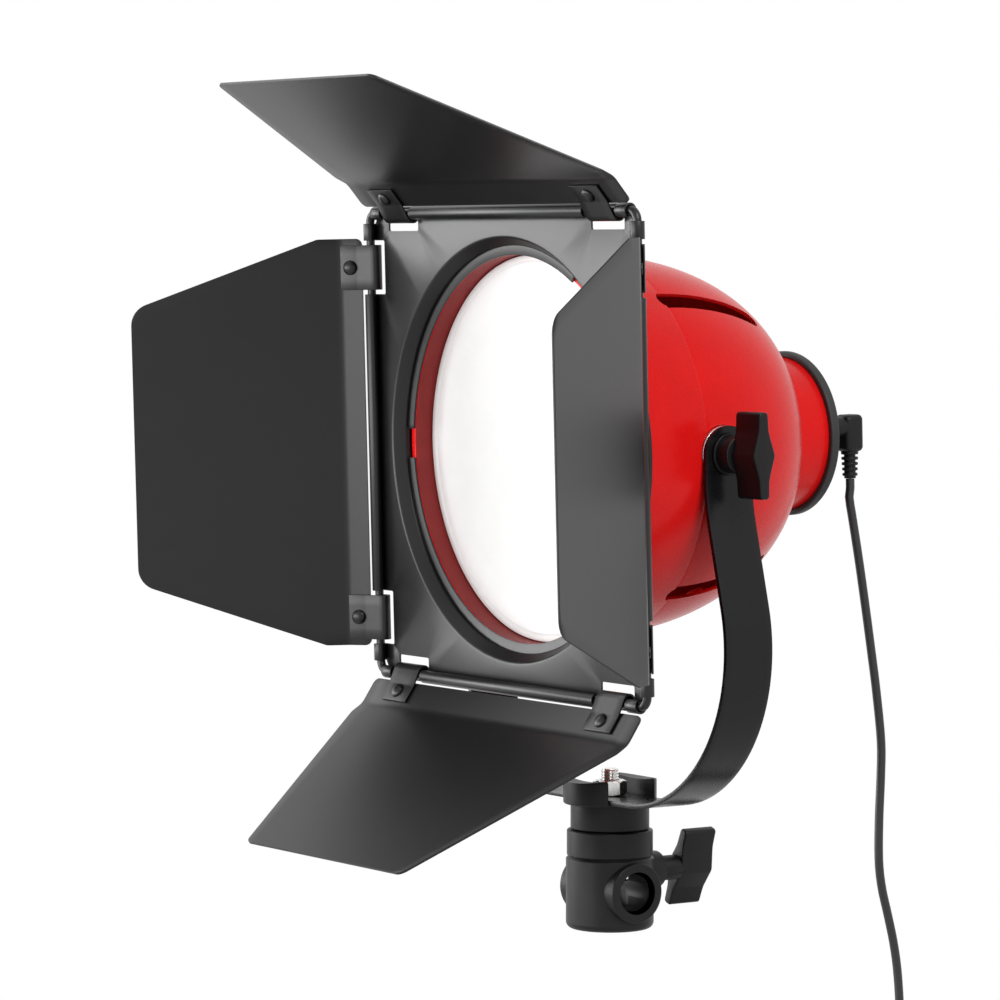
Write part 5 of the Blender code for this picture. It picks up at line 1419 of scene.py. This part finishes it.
    def _shell(self) -> None:
        """Make the shell, with its vent slots, the holes for the bosses and painted shade on its rim's
        inner wall.
        """
        shell = self._turned(self._profile(), True, self.steps)
        half = self.slot_width / 2
        low, high = self.slot_ends
        top = arc((0, high - half), half, 0, math.pi, 14)
        outline = np.vstack((top, arc((0, low + half), half, math.pi, 2 * math.pi, 14)))
        slots = [
            Shape.pillar(outline, *self.slot_reach).moved(Matrix.Rotation(clock, 4, "Y"))
            for clock in self.slot_clocks
        ]
        shell.cut(slots[0].joined(*slots[1:]))
        centre = LAMP_FROM_PIVOT.inverted()
        left, right = (
            rod(self.boss_radius + GAP, 70 * MM, 95 * MM).moved(TURNS[way], centre)
            for way in ("+X", "-X")
        )
        shell.cut(left.joined(right))
        made = shell.moved(LAMP).piece("red_shell", RED, "head", "housing_shell", sharp=24)
        # The inner wall behind the rim gets the darker red copy: painted shade where that wall is lit
        # less.
        made.data.materials.append(RED_PAINTED_SHADE.material())
        back = LAMP.inverted()
        for face in made.data.polygons:
            x, y, z = back @ face.center
            inside = math.hypot(x, z) < self.rim_inner + 0.1 * MM
            face.material_index = int(inside and self.rim_front + 0.6 * MM < y < self.painted_shade_end)

    def _drum(self) -> None:
        """Make the drum and its rubber trim ring."""
        front, rear = self.drum_ends
        inner, flange = self.drum_radius - self.drum_wall, self.drum_radius + self.drum_flange
        step = front + self.drum_wall
        drum = rounded([
            (self.drum_radius, rear, 0.4 * MM), (self.drum_radius, step, 0.6 * MM),
            (flange, step, 0.2 * MM), (flange, front, 0.2 * MM),
            (inner, front, 0.3 * MM), (inner, rear, 0.4 * MM),
        ], 4)
        self._turned(drum, True).moved(LAMP).piece("drum", RED, "head", "rear_drum")
        bore = self.drum_radius + GAP
        low, lip, back = self.trim_ends
        trim = rounded([
            (self.trim_radius, back, 1.3 * MM), (self.trim_radius, low, 0.9 * MM),
            (bore, low, 0.15 * MM), (bore, lip, 0.1 * MM),
            (self.trim_lip, lip, 0.3 * MM), (self.trim_lip, back, 0.5 * MM),
        ], 6)
        self._turned(trim, True).moved(LAMP).piece("trim_ring", RUBBER, "head", "rear_trim_ring")

    def _diffuser(self) -> None:
        """Make the opal disc: a thick rim, a shallow dish and a faint step ring in it.

        The dish deepens with one less the square of the distance from its middle, and the
        step rises as a logistic curve of that distance.
        """
        front, back = self.diffuser_front, self.diffuser_back
        rim = self.diffuser_radius - self.diffuser_rim
        start, deep, thick = self.dish
        share = np.linspace(1, 0, 60)
        dish = front + start + deep * (1 - share**2)
        step = self.dish_step / (1 + np.exp((share - 0.82) / 0.004))
        edge = line([
            (rim + 1.5 * MM, back, 0), (self.diffuser_radius, back, 0.3 * MM),
            (self.diffuser_radius, front, 0.6 * MM), (rim + 1.5 * MM, front, 0.5 * MM),
            (rim + 0.5 * MM, front + 0.7 * MM, 0),
        ], 5)
        behind = surface(rim * share, dish + thick)[::-1]
        face = surface(rim * share, dish - step + self.dish_step)
        disc = self._turned(np.vstack((behind, edge, face)), steps=self.steps)
        disc.moved(LAMP).piece("opal_disc", OPAL, "head", "diffuser")

    def _reflector(self) -> None:
        """Make the white cone between the light module and the diffuser."""
        wall, flange = self.cone_wall, self.cone_flange
        foot, foot_back = self.cone_foot
        mouth, front = self.cone_mouth
        profile = rounded([
            (foot + wall, foot_back, 0.3 * MM), (mouth + wall, front + wall, 0.5 * MM),
            (flange, front + wall, 0.2 * MM), (flange, front, 0.2 * MM),
            (mouth, front, 0.5 * MM), (foot, foot_back, 0.3 * MM),
        ], 3)
        cone = self._turned(profile, True).moved(LAMP)
        cone.piece("reflector_cone", WHITE, "head", "reflector")

    def _inlet(self) -> None:
        """Make the power inlet: a collar, a blind bore and a barrel behind the panel."""
        seat = self.trim_ends[1]
        bore, barrel, collar = self.inlet_radii
        front, floor, end = seat + 2 * MM, seat - 9.5 * MM, seat - 11 * MM
        profile = line([
            (bore, front, 0.3 * MM), (collar, front, 0.6 * MM), (collar, seat, 0.1 * MM),
            (barrel, seat, 0), (barrel, end, 0.2 * MM), (0, end, 0),
        ])
        profile = np.vstack(([(0, floor), (bore, floor)], profile))
        x, z = self.inlet_place
        inlet = self._turned(profile, steps=48).moved(Matrix.Translation((x, 0, z)), LAMP)
        inlet.piece("power_inlet", NYLON, "head", "dc_inlet")

    def _switch(self) -> None:
        """Make the switch: a bezelled well and a rocker with a hollow crown."""
        seat, edge = self.trim_ends[1], self.switch_edge
        wide, tall = self.switch_half
        well = block((-wide, -tall, seat - 12 * MM), (wide, tall, seat + 0.1 * MM), 0.6 * MM)
        low, high = (-wide - edge, -tall - edge, seat), (wide + edge, tall + edge, seat + edge)
        bezel = block(low, high, 1.8 * MM, 0.5 * MM)
        wide, tall = wide - self.switch_wall, tall - self.switch_wall
        hole = block((-wide, -tall, seat - 10 * MM), (wide, tall, seat + 5 * MM), 0.4 * MM)
        place = Matrix.Translation((self.switch_place, 0, 0)) @ TURNS["+Y"]
        well.fused(bezel).cut(hole).moved(place, LAMP)
        well.piece("switch_bezel", NYLON, "head", "switch_body")
        axis = LAMP @ Matrix.Translation((self.switch_place, seat - self.rocker_axis, 0))
        half, crown, foot = tall - 1.2 * MM, self.rocker_crown, -3.6 * MM
        outline = rounded([
            (crown + 1.0 * MM, -half, 0.4 * MM), (crown - 4.4 * MM, -half, 0.4 * MM),
            (foot, -3 * MM, 0.4 * MM), (foot, 3 * MM, 0.4 * MM),
            (crown - 4.4 * MM, half, 0.4 * MM), (crown + 1.0 * MM, half, 0.4 * MM),
            (crown - 1.2 * MM, 0, 14 * MM),
        ], 8)
        rocker = Shape.pillar(outline, GAP - wide, wide - GAP, 0.3 * MM)
        swap = Matrix(((0, 0, 1, 0), (1, 0, 0, 0), (0, 1, 0, 0), (0, 0, 0, 1)))
        rocker.moved(swap, axis @ Matrix.Rotation(self.rocker_lean, 4, "X"))
        rocker.piece("rocker", NYLON, "power_switch", "switch_rocker")

    def _bosses(self) -> None:
        """Make the bosses that the pivot screws turn in, their washers and the far bolt."""
        low, high = self.boss_ends
        flange, step = self.boss_flange
        boss = rounded([
            (self.boss_radius, high, 0.5 * MM), (self.boss_radius, step, 0),
            (flange, step, 0.3 * MM), (flange, low, 0.3 * MM),
            (BOLT_HOLE, low, 0.2 * MM), (BOLT_HOLE, high, 0.2 * MM),
        ], 4)
        near, far = self.washer_ends
        washer = rounded([
            (self.washer_radius, far, 0.3 * MM), (self.washer_radius, near, 0.3 * MM),
            (BOLT_HOLE, near, 0.1 * MM), (BOLT_HOLE, far, 0.1 * MM),
        ], 3)
        kinds = (
            ("boss", boss, PIVOT, ZINC, "head", "pivot_boss"),
            ("washer", washer, LEVEL, NYLON, "yoke", "pivot_washer"),
        )
        for name, profile, place, finish, body, node in kinds:
            for way, side in (("+X", "left"), ("-X", "right")):
                turned = Shape.turned(profile, 64, True).moved(TURNS[way], place)
                turned.piece(f"{name}_{side}", finish, body, f"{node}_{side}")
        start, seat, end = self.bolt_ends
        bolt = hexagon(seat, end).joined(thread(start, seat + 1.0 * MM)).moved(TURNS["-X"], PIVOT)
        bolt.piece("far_bolt", ZINC, "head", "pivot_bolt")


# Knobs


@dataclass
class WingKnob:
    """A wing knob on its screw: a lens-shaped wing drawn out along its axis, on a hub."""

    name: str
    node: str
    place: Matrix
    start: float
    hub: Pair
    screw_from: float
    height: float = 36.5 * MM
    middle: float = 11.6 * MM
    tip: float = 4.6 * MM
    length: float = 16.7 * MM
    screw_depth: float = 11.7 * MM

    def build(self) -> None:
        """Build the knob and the screw, on the body that has the knob's name."""
        half, tip = self.height / 2, self.tip / 2
        waist = (tip + 0.4 * MM, half * 0.55, 14 * MM)
        corners = [(self.middle / 2, 0, 4 * MM), waist, (tip, half, 1.6 * MM)]
        corners += [(-tip, half, 1.6 * MM), (-waist[0], *waist[1:])]
        outline = rounded(corners + [(-x, -y, r) for x, y, r in corners], 10)
        radius, length = self.hub
        start = self.start + length
        wing = Shape.pillar(outline, start, start + self.length, 0.9 * MM, 5)
        hub = rod(radius, self.start, start + 1 * MM, 0.5 * MM)
        bore = rod(BOLT_HOLE, self.start - 1 * MM, self.start + 12 * MM, 0, 48)
        knob = wing.fused(hub).cut(bore).moved(self.place)
        knob.piece(f"{self.name}_wing", NYLON, self.node, self.node, sharp=38)
        screw = thread(self.screw_from, self.start + self.screw_depth).moved(self.place)
        screw.piece(f"{self.name}_wing_screw", ZINC, self.node, f"{self.name}_screw")


# Yoke and adapter


@dataclass
class Yoke:
    """The flat strap, the fork that holds it and the bolt between them."""

    width: float = 24 * MM
    strap: float = 2.0 * MM
    inner: float = 84.6 * MM
    flare: float = 15 * DEG
    knee: float = 12 * MM
    arc_radius: float = 71 * MM
    arc_centre: Pair = (29.3 * MM, 128.3 * MM)
    fork_floor: float = 56.0 * MM
    fork_foot: float = 43.8 * MM
    fork_radius: float = 17.3 * MM
    stub_radius: float = 10 * MM
    stub_low: float = 36.2 * MM
    wall_radius: float = 20.5 * MM
    wall_top: float = 66.5 * MM
    wall_face: float = 12.35 * MM
    hollow_radius: float = 90 * MM
    hollow_depth: float = 1.4 * MM
    bolt_top: float = 70.1 * MM
    nut: Pair = (58.6 * MM, 65.1 * MM)

    def build(self) -> None:
        """Build the strap, the fork, the bolt and the nut."""
        self._strap()
        self._fork()
        low = self.stub_low + GAP
        bolt = hexagon(low, low + HEXAGON_THICKNESS).joined(thread(low + 4 * MM, self.bolt_top))
        bolt.piece("fork_bolt", ZINC, "yoke", "yoke_bolt")
        nut = hexagon(*self.nut).cut(rod(BOLT_HOLE, 50 * MM, 80 * MM, 0, 48))
        nut.piece("fork_nut", ZINC, "yoke", "yoke_nut")

    def _line(self) -> np.ndarray:
        """Return half of the strap's middle line, from the pivot end to the bottom's middle.

        The arm drops straight, bends out by the flare over a smooth knee, and runs on as a
        tangent of the lower corner's arc.

        Returns:
            Rows of distance from the middle and height.
        """
        arm = self.inner + self.strap / 2
        corner = arc(self.arc_centre, self.arc_radius, self.flare, -math.pi / 2, 40)
        rise = (corner[0, 0] - arm) / math.tan(self.flare)
        knee = np.array((arm, corner[0, 1] + rise))
        above = knee + (0, self.knee)
        below = knee + np.array((math.sin(self.flare), -math.cos(self.flare))) * self.knee
        t = np.linspace(0, 1, 13)[:, None]
        bend = above * (1 - t) ** 2 + knee * 2 * t * (1 - t) + below * t**2
        fall = self.width / 2 * np.cos(np.linspace(0, math.pi / 2, 16))
        return np.vstack((surface(arm, PIVOT_HEIGHT + fall), bend, corner, [(0.0, corner[-1, 1])]))

    def _strap(self) -> None:
        """Make the strap: the half width times place across, carried along the middle line."""
        left = self._line()
        middle = np.vstack((left, left[-2::-1] * (-1, 1)))
        half = self.width / 2
        fallen = np.clip((PIVOT_HEIGHT + half - middle[:, 1:]) / half, 0, 1)
        wide = half * np.sqrt(np.clip(1 - (1 - fallen) ** 2, 0, 1))
        points = surface(middle[:, :1], wide * np.linspace(-1, 1, 9), middle[:, 1:])
        strap = Shape.grid(points).solid(self.strap).eased(0.35 * MM, 3)
        pivot = rod(BOLT_HOLE, -120 * MM, 120 * MM, 0, 48).moved(TURNS["+X"], LEVEL)
        strap.cut(pivot, rod(BOLT_HOLE, 40 * MM, 80 * MM, 0, 48))
        strap.piece("strap", STRAP_BLACK, "yoke", "yoke_strap")

    def _fork(self) -> None:
        """Make the fork head: a round block and two curved walls with hollowed tops."""
        fork = Shape.turned(line([
            (0, self.fork_floor, 0), (self.fork_radius, self.fork_floor, 0.5 * MM),
            (self.fork_radius, self.fork_foot, 0.6 * MM), (self.stub_radius, self.fork_foot, 0.3 * MM),
            (self.stub_radius, self.stub_low, 0.4 * MM), (0, self.stub_low, 0),
        ]), 96)
        low, radius, face = self.fork_floor - 1 * MM, self.wall_radius, self.wall_face
        disc = line([
            (0, self.wall_top, 0), (radius, self.wall_top, 1.4 * MM), (radius, low, 0.8 * MM),
            (0, low, 0),
        ], 6)
        fork.fused(Shape.turned(disc, 128))
        fork.cut(block((-30 * MM, -face, self.fork_floor), (30 * MM, face, 90 * MM)))
        hollow = rod(self.hollow_radius, -30 * MM, 30 * MM, 0, 256).moved(TURNS["+Y"])
        rise = self.wall_top + self.hollow_radius - self.hollow_depth
        fork.cut(hollow.moved(Matrix.Translation((0, 0, rise))), rod(BOLT_HOLE, 0, 100 * MM, 0, 48))
        pocket = self.stub_low + GAP + HEXAGON_THICKNESS + GAP
        fork.cut(hexagon(0, pocket, HEXAGON + GAP, False)).eased(0.35 * MM, angle=60)
        fork.piece("fork", NYLON, "yoke", "fork_head")


@dataclass
class StandAdapter:
    """The moulded adapter with its stand socket, cross socket and clamp boss."""

    radius: float = 19.3 * MM
    body_top: float = 31.6 * MM
    collar_radius: float = 18.9 * MM
    collar_top: float = 43.5 * MM
    collar_bore: Pair = (10.3 * MM, 35.9 * MM)
    groove: float = 0.8 * MM
    socket: float = 8.15 * MM
    socket_depth: float = 33 * MM
    cross_height: float = 17.3 * MM
    cross_radius: float = 13.2 * MM
    cross_ends: Pair = (-19.8 * MM, 21.0 * MM)
    mouth: Pair = (9.3 * MM, 3.0 * MM)
    clamp_height: float = 24 * MM
    boss: Triple = (9.4 * MM, 8.0 * MM, 25.5 * MM)

    def build(self) -> None:
        """Build the adapter's body."""
        groove = self.groove
        body = Shape.turned(line([
            (0, self.collar_top, 0), (self.collar_radius, self.collar_top, 0.7 * MM),
            (self.collar_radius, self.body_top + groove, 0.25 * MM),
            (self.collar_radius - groove, self.body_top + groove / 2, 0.1 * MM),
            (self.radius, self.body_top - groove, 0.35 * MM), (self.radius, 0, 3 * MM), (0, 0, 0),
        ], 8), 128)
        across = (TURNS["+X"], Matrix.Translation((0, 0, self.cross_height)))
        ahead = (TURNS["+Y"], Matrix.Translation((0, 0, self.clamp_height)))
        low, high = self.cross_ends
        foot, top, end = self.boss
        cone = line([(0, 8 * MM, 0), (foot, 8 * MM, 0), (top, end, 0.7 * MM), (0, end, 0)])
        body.fused(
            rod(self.cross_radius, low, high, 0.7 * MM, 96).moved(*across),
            Shape.turned(cone, 72).moved(*ahead),
        )
        mouth, deep = self.mouth
        bore, bore_low = self.collar_bore
        body.cut(
            rod(self.socket, -5 * MM, self.socket_depth, 0, 72),
            rod(self.socket, -40 * MM, 40 * MM, 0, 80).moved(*across),
            rod(mouth, high - deep, high + 5 * MM, 0, 72).moved(*across),
            rod(mouth, low - 5 * MM, low + deep, 0, 72).moved(*across),
            rod(BOLT_HOLE, 0, 40 * MM, 0, 40).moved(*ahead),
            rod(bore, bore_low, self.collar_top + 5 * MM, 0, 60),
        )
        body.eased(0.3 * MM, angle=60).piece("stand_adapter", NYLON, "yoke", "adapter_body")


# Inner pieces


@dataclass
class InnerPieces:
    """The model's own pieces that stay as they are and get their finishes."""

    finishes: tuple[tuple[str, Finish], ...] = (
        ("rear_panel", NYLON), ("heat_sink", ALUMINIUM), ("inner_bracket", ZINC),
        ("led_board", WHITE), ("led_module", PHOSPHOR), ("driver_board", CIRCUIT),
        ("driver_transformer", PHOSPHOR), ("driver_capacitor", ALUMINIUM),
    )

    def dress(self, nodes: dict[str, bpy.types.Object]) -> None:
        """Give each kept node its finish.

        Args:
            nodes: The model's nodes by name.
        """
        for name, finish in self.finishes:
            node = nodes[name]
            node.data.materials.clear()
            node.data.materials.append(finish.material())
            LOG.info("%s: dressed in %s", name, finish.name)


def main() -> None:
    """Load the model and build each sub-assembly round it."""
    logging.basicConfig(level=logging.INFO, format="%(message)s")
    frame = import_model()
    for part in (Studio(), PowerLead(), BarnDoors(), LampHead()):
        part.build()
    adapter = StandAdapter()
    tilt = PIVOT @ TURNS["+X"] @ Matrix.Rotation(90 * DEG, 4, "Z")
    clamp = Matrix.Translation((0, 0, adapter.clamp_height)) @ TURNS["+Y"]
    clamp @= Matrix.Rotation(20.7 * DEG, 4, "Z")
    WingKnob("tilt", "tilt_knob", tilt, 88.4 * MM, (8 * MM, 6.3 * MM), 66 * MM).build()
    WingKnob("clamp", "clamp_knob", clamp, 25.8 * MM, (5.5 * MM, 9.5 * MM), 8.65 * MM).build()
    Yoke().build()
    adapter.build()
    InnerPieces().dress(frame["nodes"])


if __name__ == "__main__":
    main()
